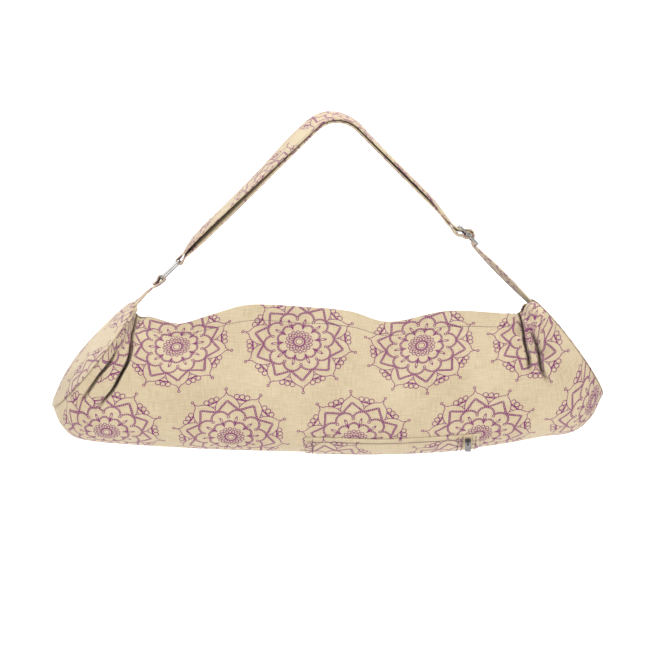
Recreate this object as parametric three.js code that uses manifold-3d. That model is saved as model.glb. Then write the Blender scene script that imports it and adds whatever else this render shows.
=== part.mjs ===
// A yoga mat bag in printed canvas, hanging by its adjustable shoulder strap. Millimetres, +Z up, +X to the
// right as the front (-Y) is seen. The origin is where the strap's underside lies on the peg or shoulder that
// holds it. The cloth tube is open along its top. Its round ends lean inwards, because the strap is sewn to
// their tops, and the length that the lean sets free is taken up in deep folds beside each tip.
import * as THREE from "three";
import { mergeVertices } from "three/addons/utils/BufferGeometryUtils.js";
import Module from "manifold-3d";

const wasm = await Module();
wasm.setup();

// The bag's cloth
const BAG_LENGTH = 686; // from one bottom corner to the other
const BAG_HEIGHT = 187.5; // from the level of the left tip to the belly
const BAG_DEPTH = 122; // front to back at the belly
const BELLY_ROUND = 0.33; // share of the height that the round belly takes
const BELLY_SWELL = 0.42; // share of the belly's width that a third of the way down from the mouth has
const END_WIDTH = 150; // width of the round ends, front to back
const LEFT_BULGE = 13; // how far the stuffed left end stands out
const RIGHT_BULGE = 4;
const BULGE_AT = 0.6; // share of the way down an end to its bulge
const BULGE_FORM = 1.5; // 1 for a cone, more for a flatter dome
const BAG_OFFSET = -12.75; // the bag's middle from the hanging point
const TIP_DROP = 226; // the left tip below the hanging point
const CLOTH = 1.4; // canvas wall
const HEM_CLOTH = 2.4; // folded canvas along the open edge
const HEM_DEPTH = 22; // from the open edge to its stitching
const FOLD_MOUTH = 8; // half the width of a fold at its lips
const SEAM_GAP = 0.3; // between pieces that are sewn together

// The strap and its hardware
const STRAP_WIDTH = 38;
const STRAP_THICKNESS = 2.4;
const STRAP_SEWN = 16; // length sewn against each round end
const STRAP_SEAM = 9; // the upper end of that seam, below the tip
const STRAP_CLEARANCE = 0.5; // between strap layers, and to the metal
const SEWN_CLEARANCE = 0.72; // beside the round ends, where the strap is sewn to them
const MOUTH_CLEARANCE = 0.8; // between the strap's edges and the hems beside it
const PEG_RADIUS = 34; // of the bend over the hanging point
const TAB_LENGTH = 74; // left seam to the middle of the ring
const SLIDER_DISTANCE = 124.5; // right seam to the middle of the slider
const LOOP_SEWN = 20; // length of a loop's end that is sewn to itself
const RING_WIRE = 3.4;
const RING_LENGTH = 34; // outside, along the strap
const RING_CORNER = 3.7; // radius of the wire's line
const SLIDER_LENGTH = 34; // outside, along the strap
const SLIDER_BAR = 3; // width of each cross bar
const SLIDER_PLATE = 2.4; // thickness of the slider
const METAL_SIDE = 3; // room beside the strap inside the ring and slider

// The pocket
const POCKET_WIDTH = 195; // of the patch without its zip
const POCKET_HEIGHT = 105; // round the belly
const POCKET_TOP = 177; // length of cloth from the open edge down to the pocket
const POCKET_LEFT = -40; // left edge from the hanging point
const POCKET_PUFF = 1.2; // how far the patch stands off the belly
const PUFF_FORM = 0.6; // 1 for a gentle crown, less for one that is flatter inside its edges
const POCKET_LIFT = 0.7; // clears the belly's facets
const ZIP_WIDTH = 11;
const ZIP_THICKNESS = 1.2;
const FACING_WIDTH = 8; // strip of cloth beyond the zip
const ZIP_SLIDER_AT = 9; // the zip slider's middle below the pocket's top edge
const ZIP_SLIDER_GAP = 0.45; // between the zip and its slider

// One row for each section of the tube, from the left round end to the right one. along is its share of the
// way; x is a share of the bag's length from its middle, drop a share of its height below the tips' level;
// belly is 0 for the round end's form and 1 for the hanging belly's; turn is how far the section's front is
// turned, as a share of half its width.
const SECTIONS = [
  { along: 0.0, topX: -0.355, topDrop: 0.0, lowX: -0.5, lowDrop: 0.672, belly: 0.0, turn: 0.2 },
  { along: 0.035, topX: -0.3495, topDrop: 0.025, lowX: -0.487, lowDrop: 0.785, belly: 0.12, turn: 0.15 },
  { along: 0.07, topX: -0.343, topDrop: 0.08, lowX: -0.465, lowDrop: 0.869, belly: 0.3, turn: 0.1 },
  { along: 0.12, topX: -0.3215, topDrop: 0.082, lowX: -0.4275, lowDrop: 0.907, belly: 0.55, turn: 0.05 },
  { along: 0.2, topX: -0.27, topDrop: 0.127, lowX: -0.35, lowDrop: 0.933, belly: 0.85, turn: 0.0 },
  { along: 0.3, topX: -0.2, topDrop: 0.055, lowX: -0.234, lowDrop: 0.958, belly: 1.0, turn: 0.0 },
  { along: 0.38, topX: -0.139, topDrop: 0.0, lowX: -0.146, lowDrop: 0.969, belly: 1.0, turn: 0.0 },
  { along: 0.46, topX: -0.05, topDrop: 0.012, lowX: -0.05, lowDrop: 0.979, belly: 1.0, turn: 0.0 },
  { along: 0.55, topX: 0.043, topDrop: 0.045, lowX: 0.043, lowDrop: 0.983, belly: 1.0, turn: 0.0 },
  { along: 0.61, topX: 0.11, topDrop: 0.115, lowX: 0.11, lowDrop: 0.981, belly: 1.0, turn: 0.0 },
  { along: 0.7, topX: 0.217, topDrop: 0.042, lowX: 0.218, lowDrop: 0.965, belly: 1.0, turn: 0.0 },
  { along: 0.79, topX: 0.294, topDrop: 0.05, lowX: 0.311, lowDrop: 0.93, belly: 0.9, turn: 0.0 },
  { along: 0.86, topX: 0.333, topDrop: 0.062, lowX: 0.386, lowDrop: 0.88, belly: 0.65, turn: 0.0 },
  { along: 0.92, topX: 0.352, topDrop: 0.05, lowX: 0.447, lowDrop: 0.846, belly: 0.35, turn: 0.01 },
  { along: 0.96, topX: 0.362, topDrop: 0.005, lowX: 0.48, lowDrop: 0.75, belly: 0.15, turn: 0.03 },
  { along: 1.0, topX: 0.374, topDrop: -0.022, lowX: 0.5, lowDrop: 0.603, belly: 0.0, turn: 0.05 },
];

// One row for each fold beside the tips. atTop, atMiddle and atLow are its share of the way along the tube at
// three heights. depth is a share of half the round end's width, and lip is its part at the open edge. start,
// full, fade and end are the heights between which the fold deepens and dies away, 0 at the open edge and 1
// at the belly. back is the depth at the back, as a share of the front's.
const FOLDS = [
  { atTop: 0.022, atMiddle: 0.047, atLow: 0.038, depth: 0.3, lip: 0,
    start: 0.2, full: 0.45, fade: 0.6, end: 0.8, back: 0.8 },
  { atTop: 0.05, atMiddle: 0.115, atLow: 0.098, depth: 0.48, lip: 0.5,
    start: 0, full: 0.25, fade: 0.5, end: 0.75, back: 0.75 },
  { atTop: 0.9, atMiddle: 0.871, atLow: 0.855, depth: 0.4, lip: 0.5,
    start: 0, full: 0.15, fade: 0.28, end: 0.5, back: 0.9 },
  { atTop: 0.932, atMiddle: 0.906, atLow: 0.9, depth: 0.32, lip: 0,
    start: 0.1, full: 0.28, fade: 0.4, end: 0.62, back: 0.7 },
];
const FOLD_HEIGHTS = { top: 0, middle: 0.35, low: 0.65 };

// One row for each place along the doubled strap, from the ring to the slider. roll is in degrees, positive
// where the outer face is turned to the front; slack is the space between the layers' front edges, as a share
// of the strap's thickness.
const LAYERS = [
  { along: 0.0, outerRoll: 0, innerRoll: 0, slack: 0.5 },
  { along: 0.07, outerRoll: 6, innerRoll: 13, slack: 1.6 },
  { along: 0.22, outerRoll: 11, innerRoll: 15, slack: 1.9 },
  { along: 0.33, outerRoll: 18, innerRoll: 19, slack: 1.0 },
  { along: 0.43, outerRoll: 25, innerRoll: 24, slack: 0.4 },
  { along: 0.49, outerRoll: 26, innerRoll: 25, slack: 0.1 },
  { along: 0.54, outerRoll: 22, innerRoll: 21, slack: 0.1 },
  { along: 0.6, outerRoll: 7, innerRoll: 5, slack: 0.2 },
  { along: 0.67, outerRoll: 1, innerRoll: -1, slack: 0.4 },
  { along: 0.8, outerRoll: 0, innerRoll: -1, slack: 0.7 },
  { along: 0.92, outerRoll: 0, innerRoll: -2, slack: 1.1 },
  { along: 1.0, outerRoll: 0, innerRoll: 0, slack: 0.2 },
];
const SINGLE_ROLL = -6; // of the single strap between the slider and the right tip

const colours = {
  canvas: new THREE.MeshStandardMaterial({ color: "#dcc9a3", roughness: 0.92, metalness: 0 }),
  metal: new THREE.MeshStandardMaterial({ color: "#c9c9c6", roughness: 0.3, metalness: 1 }),
  zipTape: new THREE.MeshStandardMaterial({ color: "#cdbb97", roughness: 0.8, metalness: 0 }),
  darkMetal: new THREE.MeshStandardMaterial({ color: "#2c2a2a", roughness: 0.4, metalness: 1 }),
};

const bag = new THREE.Group();

function add(name, geometry, material) {
  const mesh = new THREE.Mesh(geometry, material);
  mesh.name = name;
  bag.add(mesh);
  return mesh;
}

// A smooth curve through a table's values of one column.
function along(table, column, share) {
  let i = table.findIndex((row) => row.along >= share) - 1;
  i = Math.min(Math.max(i, 0), table.length - 2);
  const at = (k) => table[Math.min(Math.max(k, 0), table.length - 1)];
  const slope = (k) => (at(k + 1)[column] - at(k - 1)[column]) / (at(k + 1).along - at(k - 1).along);
  const step = at(i + 1).along - at(i).along;
  const t = (share - at(i).along) / step;
  const [a, b] = [at(i)[column], at(i + 1)[column]];
  const [u, v] = [slope(i) * step, slope(i + 1) * step];
  return a + t * (u + t * (3 * (b - a) - 2 * u - v + t * (2 * (a - b) + u + v)));
}

const smooth = (t) => {
  const c = Math.min(Math.max(t, 0), 1);
  return c * c * (3 - 2 * c);
};
const halfMouth = STRAP_WIDTH / 2 + MOUTH_CLEARANCE + HEM_CLOTH;

// Half a section's outline from the open edge to the lowest point, in real sizes: x is across, y is down.
const bellyOutline = new THREE.CurvePath();
const bellyTop = BAG_HEIGHT * (1 - BELLY_ROUND);
bellyOutline.add(
  new THREE.CubicBezierCurve(
    new THREE.Vector2(halfMouth, 0),
    new THREE.Vector2(halfMouth + (BAG_DEPTH / 2 - halfMouth) * BELLY_SWELL, bellyTop / 3),
    new THREE.Vector2(BAG_DEPTH / 2, (bellyTop * 2) / 3),
    new THREE.Vector2(BAG_DEPTH / 2, bellyTop),
  ),
);
bellyOutline.add(
  new THREE.EllipseCurve(0, bellyTop, BAG_DEPTH / 2, BAG_HEIGHT * BELLY_ROUND, 0, Math.PI / 2),
);
const BELLY_GIRTH = bellyOutline.getLength();

// Half a section's outline as shares: across of half the width, down of the height. girth is 0 at the open
// edge and 1 at the lowest point.
function outline(girth, belly) {
  const hanging = bellyOutline.getPointAt(girth);
  const open = Math.asin(halfMouth / (END_WIDTH / 2));
  const angle = open + (Math.PI - open) * girth;
  const round = {
    across: Math.sin(angle),
    down: (Math.cos(open) - Math.cos(angle)) / (1 + Math.cos(open)),
  };
  return {
    across: THREE.MathUtils.lerp(round.across, hanging.x / (BAG_DEPTH / 2), belly),
    down: THREE.MathUtils.lerp(round.down, hanging.y / BAG_HEIGHT, belly),
  };
}

// A section's highest and lowest point, half its width, its form and its turn.
function section(share) {
  const point = (x, drop) =>
    new THREE.Vector3(
      BAG_OFFSET + BAG_LENGTH * along(SECTIONS, x, share),
      0,
      -TIP_DROP - BAG_HEIGHT * along(SECTIONS, drop, share),
    );
  const belly = along(SECTIONS, "belly", share);
  const top = point("topX", "topDrop");
  const low = point("lowX", "lowDrop");
  const axis = low.clone().sub(top).normalize();
  const turn = along(SECTIONS, "turn", share);
  const normal = new THREE.Vector3(-axis.z, 0, axis.x);
  return {
    top,
    low,
    belly,
    half: THREE.MathUtils.lerp(END_WIDTH / 2, BAG_DEPTH / 2, belly),
    turn,
    normal,
    facing: normal.clone().setY(turn).normalize(),
  };
}

// A point of the tube before it is folded. girth runs from 0 at the front's open edge to 2 at the back's.
function plainPoint(share, girth) {
  const s = section(share);
  const side = girth <= 1 ? -1 : 1;
  const o = outline(side < 0 ? girth : 2 - girth, s.belly);
  const y = side * o.across * s.half;
  return {
    point: s.top.clone().lerp(s.low, o.down).addScaledVector(s.normal, -y * s.turn).setY(y),
    centre: s.top.clone().lerp(s.low, 0.5),
    down: o.down,
    side,
  };
}

// Where a fold's valley runs at a height, and how deep it is there.
function foldAt(fold, down) {
  const h = Math.min(down, FOLD_HEIGHTS.low);
  const { top, middle, low } = FOLD_HEIGHTS;
  return (
    (fold.atTop * (h - middle) * (h - low)) / ((top - middle) * (top - low)) +
    (fold.atMiddle * (h - top) * (h - low)) / ((middle - top) * (middle - low)) +
    (fold.atLow * (h - top) * (h - middle)) / ((low - top) * (low - middle))
  );
}

function foldDepth(fold, down, side) {
  const rising = fold.lip + (1 - fold.lip) * smooth((down - fold.start) / (fold.full - fold.start));
  const ending = 1 - smooth((down - fold.fade) / (fold.end - fold.fade));
  return fold.depth * (END_WIDTH / 2) * rising * ending * (side < 0 ? 1 : fold.back);
}

const mouthShare = FOLD_MOUTH / BAG_LENGTH;

// A point of the folded tube. Each fold draws the cloth in towards the section's centre.
function tubePoint(share, girth) {
  const { point, centre, down, side } = plainPoint(share, girth);
  let depth = 0;
  for (const fold of FOLDS) {
    const off = (share - foldAt(fold, down)) / mouthShare;
    if (Math.abs(off) < 1) depth += (foldDepth(fold, down, side) * (1 + Math.cos(Math.PI * off))) / 2;
  }
  const inward = centre.sub(point);
  return point.addScaledVector(inward, depth / inward.length());
}

// The columns of the tube's mesh at one height: close together in the folds, and wide apart between them.
const FOLD_COLUMNS = [-1, -0.7, -0.45, -0.22, 0, 0.22, 0.45, 0.7, 1];
const PLAIN_COLUMNS = [2, 2, 24, 2, 2];
function columnShares(down) {
  const shares = [0];
  FOLDS.forEach((fold, i) => {
    const at = foldAt(fold, down);
    const from = shares.at(-1);
    const to = at - mouthShare;
    const steps = PLAIN_COLUMNS[i];
    for (let k = 1; k < steps; k++) shares.push(from + ((to - from) * k) / steps);
    FOLD_COLUMNS.forEach((c) => shares.push(at + c * mouthShare));
  });
  const from = shares.at(-1);
  const steps = PLAIN_COLUMNS.at(-1);
  for (let k = 1; k <= steps; k++) shares.push(from + ((1 - from) * k) / steps);
  return shares;
}

// A closed body from two like grids of points: the outer face, and the inner face behind it.
function wall(outer, inner) {
  const rows = outer.length;
  const columns = outer[0].length;
  const positions = [];
  const index = [];
  for (const p of [...outer.flat(), ...inner.flat()]) positions.push(p.x, p.y, p.z);
  const o = (i, j) => i * columns + j;
  const n = (i, j) => rows * columns + i * columns + j;
  const quad = (a, b, c, d) => index.push(a, b, c, a, c, d);
  for (let i = 0; i < rows - 1; i++) {
    for (let j = 0; j < columns - 1; j++) {
      quad(o(i, j), o(i + 1, j), o(i + 1, j + 1), o(i, j + 1));
      quad(n(i, j), n(i, j + 1), n(i + 1, j + 1), n(i + 1, j));
    }
    quad(o(i, 0), n(i, 0), n(i + 1, 0), o(i + 1, 0));
    quad(o(i, columns - 1), o(i + 1, columns - 1), n(i + 1, columns - 1), n(i, columns - 1));
  }
  for (let j = 0; j < columns - 1; j++) {
    quad(o(0, j), o(0, j + 1), n(0, j + 1), n(0, j));
    quad(o(rows - 1, j), n(rows - 1, j), n(rows - 1, j + 1), o(rows - 1, j + 1));
  }
  const geometry = new THREE.BufferGeometry();
  geometry.setAttribute("position", new THREE.Float32BufferAttribute(positions, 3));
  geometry.setIndex(index);
  return geometry;
}

// The outward direction at each point of a grid whose rows run round the bag and whose columns run along it.
function outwardOf(grid) {
  const pick = (i, j) => {
    const row = grid[Math.min(Math.max(i, 0), grid.length - 1)];
    return row[Math.min(Math.max(j, 0), row.length - 1)];
  };
  return grid.map((row, i) =>
    row.map((_, j) => {
      const down = pick(i + 1, j).clone().sub(pick(i - 1, j));
      const right = pick(i, j + 1).clone().sub(pick(i, j - 1));
      return down.cross(right).normalize();
    }),
  );
}

// The same grid moved along its own outward direction, by a distance that may differ from row to row.
function offsetGrid(grid, outward, distance) {
  return grid.map((row, i) => row.map((p, j) => p.clone().addScaledVector(outward[i][j], distance(i))));
}

// The tube
const ROWS_A_SIDE = 14;
const HEM_STEP = 0.9; // share of the hem's depth where it starts to thin down to one layer
const hemShare = HEM_DEPTH / BELLY_GIRTH;
const halfGirths = [0, hemShare * HEM_STEP, hemShare];
const plainRows = ROWS_A_SIDE - 2;
for (let k = 1; k <= plainRows; k++) halfGirths.push(hemShare + ((1 - hemShare) * k) / plainRows);
const girths = [...halfGirths, ...halfGirths.slice(0, -1).reverse().map((g) => 2 - g)];

function bodyPanel() {
  const outer = girths.map((girth) => {
    const { down } = plainPoint(0.5, girth);
    return columnShares(down).map((share) => tubePoint(share, girth));
  });
  const hemmed = (i) => girths[i] < hemShare || girths[i] > 2 - hemShare;
  const outward = outwardOf(outer);
  for (const row of outward) {
    row[0].projectOnPlane(section(0).facing).normalize();
    row.at(-1).projectOnPlane(section(1).facing).normalize();
  }
  const inner = offsetGrid(outer, outward, (i) => -(hemmed(i) ? HEM_CLOTH : CLOTH));
  return wall(outer, inner);
}
add("body_panel", bodyPanel(), colours.canvas);

// How far a round end stands out: share is of the way from the middle of its bulge to its rim.
const domeAt = (bulge, share) => bulge * (1 - share ** BULGE_FORM);

// A round end closes the tube just outside its last section, and is domed by what fills the bag.
const END_RINGS = 5;
const END_MOUTH_POINTS = 4;
function endPanel(share, direction, bulge) {
  const s = section(share);
  const out = s.facing.clone().multiplyScalar(direction);
  const rim = girths.map((girth) => plainPoint(share, girth).point);
  const [first, last] = [rim[0], rim.at(-1)];
  const up = s.top.clone().sub(s.low).normalize();
  const crown = END_WIDTH / 2 - Math.sqrt((END_WIDTH / 2) ** 2 - halfMouth ** 2);
  for (let k = 1; k < END_MOUTH_POINTS; k++) {
    const t = k / END_MOUTH_POINTS;
    rim.push(last.clone().lerp(first, t).addScaledVector(up, crown * 4 * t * (1 - t)));
  }
  const centre = s.top.clone().lerp(s.low, BULGE_AT);
  const layer = (height) => {
    const rings = [];
    for (let r = 1; r <= END_RINGS; r++) {
      const share = r / END_RINGS;
      const stand = height + domeAt(bulge, share);
      rings.push(rim.map((p) => centre.clone().lerp(p, share).addScaledVector(out, stand)));
    }
    return { rings, middle: centre.clone().addScaledVector(out, height + bulge) };
  };
  return discBody(layer(SEAM_GAP), layer(SEAM_GAP + CLOTH), direction);
}

// A closed body from two domes, each of rings round a middle point.
function discBody(inner, outer, direction) {
  const positions = [];
  const count = inner.rings[0].length;
  for (const dome of [inner, outer]) {
    positions.push(dome.middle);
    for (const ring of dome.rings) positions.push(...ring);
  }
  const start = (dome) => dome * (1 + inner.rings.length * count);
  const at = (dome, ring, k) => start(dome) + 1 + ring * count + (k % count);
  const faces = [];
  for (let k = 0; k < count; k++) {
    for (const dome of [0, 1]) {
      const flip = dome === 0;
      const push = (a, b, c) => faces.push(flip ? [a, c, b] : [a, b, c]);
      push(start(dome), at(dome, 0, k), at(dome, 0, k + 1));
      for (let r = 0; r < inner.rings.length - 1; r++) {
        push(at(dome, r, k), at(dome, r + 1, k), at(dome, r + 1, k + 1));
        push(at(dome, r, k), at(dome, r + 1, k + 1), at(dome, r, k + 1));
      }
    }
    const last = inner.rings.length - 1;
    faces.push([at(0, last, k), at(0, last, k + 1), at(1, last, k + 1)]);
    faces.push([at(0, last, k), at(1, last, k + 1), at(1, last, k)]);
  }
  const turned = direction > 0 ? faces : faces.map(([a, b, c]) => [a, c, b]);
  const geometry = new THREE.BufferGeometry().setFromPoints(positions);
  geometry.setIndex(turned.flat());
  return geometry;
}
add("end_panel_left", endPanel(0, -1, LEFT_BULGE), colours.canvas);
add("end_panel_right", endPanel(1, 1, RIGHT_BULGE), colours.canvas);

// The strap's line of pull, in the plane y = 0: a straight arm from each seam to the bend over the peg.
const layerStep = STRAP_THICKNESS + STRAP_CLEARANCE;
const bendRadius = PEG_RADIUS + STRAP_THICKNESS / 2 + layerStep / 2;
const bendCentre = new THREE.Vector2(0, -PEG_RADIUS);
const flat = (v) => new THREE.Vector2(v.x, v.z);
const tips = { left: section(0), right: section(1) };

// The middle of a strap that lies on a round end's inner face, at a distance below the tip.
function sewnPoint(s, direction, bulge, below) {
  const down = flat(s.low).sub(flat(s.top)).normalize();
  const share = 1 - below / (BULGE_AT * s.top.distanceTo(s.low));
  const out = domeAt(bulge, share) - SEWN_CLEARANCE - STRAP_THICKNESS / 2;
  return flat(s.top).addScaledVector(down, below).addScaledVector(flat(s.normal), direction * out);
}
const leftSeam = sewnPoint(tips.left, -1, LEFT_BULGE, STRAP_SEAM);
const rightSeam = sewnPoint(tips.right, 1, RIGHT_BULGE, STRAP_SEAM);

// Where the straight line from a seam touches the bend; side is -1 for the left arm and 1 for the right.
function touchPoint(seam, side) {
  const toSeam = seam.clone().sub(bendCentre);
  const spread = Math.acos(bendRadius / toSeam.length());
  const angle = toSeam.angle() + side * spread;
  const out = new THREE.Vector2(Math.cos(angle), Math.sin(angle));
  return bendCentre.clone().addScaledVector(out, bendRadius);
}
const leftTouch = touchPoint(leftSeam, -1);
const rightTouch = touchPoint(rightSeam, 1);
const leftArm = leftSeam.distanceTo(leftTouch);
const rightArm = rightSeam.distanceTo(rightTouch);
const bendFrom = leftTouch.clone().sub(bendCentre).angle();
const bendTo = rightTouch.clone().sub(bendCentre).angle();
const bendLength = (bendFrom - bendTo) * bendRadius;
const LINE_LENGTH = leftArm + bendLength + rightArm;

// A place on that line: its point, its direction towards the right seam, and its outward direction.
function linePlace(distance) {
  let point, ahead;
  if (distance <= leftArm) {
    ahead = leftTouch.clone().sub(leftSeam).normalize();
    point = leftSeam.clone().addScaledVector(ahead, distance);
  } else if (distance < leftArm + bendLength) {
    const angle = bendFrom - (distance - leftArm) / bendRadius;
    const out = new THREE.Vector2(Math.cos(angle), Math.sin(angle));
    ahead = new THREE.Vector2(out.y, -out.x);
    point = bendCentre.clone().addScaledVector(out, bendRadius);
  } else {
    ahead = rightSeam.clone().sub(rightTouch).normalize();
    point = rightTouch.clone().addScaledVector(ahead, distance - leftArm - bendLength);
  }
  return { point, ahead, out: new THREE.Vector2(-ahead.y, ahead.x) };
}

// A point at a distance along the line and a height over it, with the band's roll there.
function strapPoint(distance, height, roll) {
  const { point, out } = linePlace(distance);
  return { at: point.clone().addScaledVector(out, height), roll };
}

// A closed body from rings of like points. A closed loop joins its last ring to its first, and the others get
// caps.
function sweep(rings, closed = false) {
  const sides = rings[0].length;
  const positions = rings.flat();
  const faces = [];
  const at = (ring, k) => (ring % rings.length) * sides + (k % sides);
  for (let r = 0; r < rings.length - (closed ? 0 : 1); r++) {
    for (let k = 0; k < sides; k++) {
      faces.push([at(r, k), at(r, k + 1), at(r + 1, k + 1)], [at(r, k), at(r + 1, k + 1), at(r + 1, k)]);
    }
  }
  if (!closed) {
    for (let k = 1; k < sides - 1; k++) {
      faces.push([at(0, 0), at(0, k + 1), at(0, k)]);
      faces.push([at(rings.length - 1, 0), at(rings.length - 1, k), at(rings.length - 1, k + 1)]);
    }
  }
  const geometry = new THREE.BufferGeometry().setFromPoints(positions);
  geometry.setIndex(faces.flat());
  return geometry;
}

// A flat band along a path in the plane y = 0, rolled about its own direction.
function band(path) {
  const rings = path.map(({ at, roll }, i) => {
    const before = path[Math.max(i - 1, 0)].at;
    const after = path[Math.min(i + 1, path.length - 1)].at;
    const ahead = after.clone().sub(before).normalize();
    const out = new THREE.Vector3(-ahead.y, 0, ahead.x);
    const turned = THREE.MathUtils.degToRad(roll);
    const front = new THREE.Vector3(0, -Math.cos(turned), 0).addScaledVector(out, -Math.sin(turned));
    const face = out.clone().multiplyScalar(Math.cos(turned)).add(new THREE.Vector3(0, -Math.sin(turned), 0));
    const corner = (f, o) =>
      new THREE.Vector3(at.x, 0, at.y)
        .addScaledVector(front, (f * STRAP_WIDTH) / 2)
        .addScaledVector(face, (o * STRAP_THICKNESS) / 2);
    return [corner(1, 1), corner(1, -1), corner(-1, -1), corner(-1, 1)];
  });
  return sweep(rings);
}

// Points round a bar from one angle to another, counted from the line's direction.
function roundBar(distance, height, radius, from, to, steps) {
  const points = [];
  for (let k = 0; k <= steps; k++) {
    const angle = THREE.MathUtils.degToRad(from + ((to - from) * k) / steps);
    points.push(strapPoint(distance + radius * Math.cos(angle), height + radius * Math.sin(angle), 0));
  }
  return points;
}

// The end of the strap that is sewn against a round end's inner face, from inside the bag upwards.
const SEWN_STEPS = [1, 0.5, 0.08];
function sewnEnd(s, direction, bulge, roll) {
  return SEWN_STEPS.map((share) => ({
    at: sewnPoint(s, direction, bulge, STRAP_SEAM + STRAP_SEWN * share),
    roll,
  }));
}
const sectionRoll = (s, direction) => -direction * THREE.MathUtils.radToDeg(Math.atan(s.turn));

// The same stretch of band followed the other way.
const reversed = (points) => points.map(({ at, roll }) => ({ at, roll: -roll })).reverse();

const ringMiddle = TAB_LENGTH;
const ringBarAt = RING_LENGTH / 2 - RING_WIRE / 2;
const ringTurn = RING_WIRE / 2 + STRAP_CLEARANCE + STRAP_THICKNESS / 2;
const sliderMiddle = LINE_LENGTH - SLIDER_DISTANCE;
const sliderBarAt = SLIDER_LENGTH / 2 - SLIDER_BAR / 2;
const barRadius = Math.hypot(SLIDER_BAR, SLIDER_PLATE) / 2;
const sliderTurn = barRadius + STRAP_CLEARANCE + STRAP_THICKNESS / 2;
// The slider's plane is this far over the line of pull, so that the strap runs straight under it.
const sliderLift = sliderTurn + STRAP_CLEARANCE;

// The two layers at a share of the way from the ring to the slider. rise keeps their front edges on the line.
function layersAt(share) {
  const outerRoll = along(LAYERS, "outerRoll", share);
  const innerRoll = along(LAYERS, "innerRoll", share);
  const sine = (roll) => Math.sin(THREE.MathUtils.degToRad(roll));
  const lean = (sine(outerRoll) - sine(innerRoll)) / 2;
  const slack = Math.max(along(LAYERS, "slack", share), 0) * STRAP_THICKNESS;
  const half = layerStep / 2 + (Math.abs(lean) * STRAP_WIDTH) / 2 + slack / 2;
  const rise = (sine((outerRoll + innerRoll) / 2) * STRAP_WIDTH) / 2;
  return { outerRoll, innerRoll, half, rise };
}

const LAYER_STEPS = 44;
const doubledFrom = ringMiddle + ringBarAt;
const doubledTo = sliderMiddle - sliderBarAt;
const SETTLE = 0.12; // share of the doubled length over which the layers come together at the slider

function layerPath(layer) {
  const points = [];
  for (let k = 1; k < LAYER_STEPS; k++) {
    const share = k / LAYER_STEPS;
    const { outerRoll, innerRoll, half, rise } = layersAt(share);
    const near = smooth((share - (1 - SETTLE)) / SETTLE);
    const bottom = layer > 0 ? 0 : -2 * layerStep;
    const height = THREE.MathUtils.lerp(layer * half + rise, bottom, near);
    const distance = THREE.MathUtils.lerp(doubledFrom, doubledTo - STRAP_THICKNESS, share);
    points.push(strapPoint(distance, height, layer > 0 ? outerRoll : innerRoll));
  }
  return points;
}

// The single strap from the right seam to the slider: its steps, as shares of its length, and the shares over
// which it turns from the seam's roll to its own and back to none at the slider.
const SINGLE_STEPS = [0.06, 0.15, 0.3, 0.5, 0.7, 0.85, 1];
const TURN_AWAY = 0.4;
const TURN_BACK = 0.3;
const BUMP_STEPS = 14; // over the slider's middle bar
const BAR_STEPS = 10; // round a bar

// The inner layer's way under the slider to its middle bar, and its sewn end beyond. share is of the way from
// the middle bar back to the outer one, and layers is a height in steps of one layer.
const SLIDER_APPROACH = [
  { share: 1, layers: -2 },
  { share: 0.55, layers: -1.5 },
  { share: 0.25, layers: -0.18 },
];
const SLIDER_END = { share: 0.45, layers: -0.5 };

function strapPath() {
  const seamRoll = sectionRoll(tips.right, 1);
  const points = sewnEnd(tips.right, 1, RIGHT_BULGE, -seamRoll);
  const singleLength = SLIDER_DISTANCE - SLIDER_LENGTH / 2;
  for (const share of SINGLE_STEPS) {
    const away = THREE.MathUtils.lerp(seamRoll, SINGLE_ROLL, smooth((share - SINGLE_STEPS[0]) / TURN_AWAY));
    const roll = away * smooth((1 - share) / TURN_BACK);
    points.push(strapPoint(LINE_LENGTH - singleLength * share, 0, -roll));
  }
  const bump = sliderLift + sliderTurn + layerStep + STRAP_CLEARANCE;
  for (let k = 0; k <= BUMP_STEPS; k++) {
    const t = 1 - (2 * k) / BUMP_STEPS;
    points.push(strapPoint(sliderMiddle + t * sliderBarAt, (bump * (1 + Math.cos(Math.PI * t))) / 2, 0));
  }
  points.push(...reversed(layerPath(1)));
  points.push(...roundBar(doubledFrom, 0, ringTurn, 90, 270, BAR_STEPS));
  points.push(...layerPath(-1));
  for (const { share, layers } of SLIDER_APPROACH) {
    points.push(strapPoint(sliderMiddle - sliderBarAt * share, layers * layerStep, 0));
  }
  points.push(...roundBar(sliderMiddle, sliderLift, sliderTurn, -80, 140, BAR_STEPS + 2));
  const endHeight = sliderLift + SLIDER_END.layers * layerStep;
  points.push(strapPoint(sliderMiddle - sliderBarAt * SLIDER_END.share, endHeight, 0));
  return points;
}
add("strap", band(strapPath()), colours.canvas);

// The short strap from the left tip, looped round the ring's lower bar and sewn to itself.
const TAB_STEPS = [0.1, 0.3, 0.6, 1];
const TAB_UNTURNS = 0.6; // share of the seam's roll that the tab loses on its way to its loop

// The tab's way to the ring's lower bar and back. share is of the way from the loop's seam to the bar, and
// turns is a height in the radius of the turn round the bar.
const TAB_APPROACH = { share: 0.5, turns: -0.7 };
const TAB_RETURN = [
  { share: 0.64, turns: -0.55 },
  { share: 0.35, turns: -0.3 },
];

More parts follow.
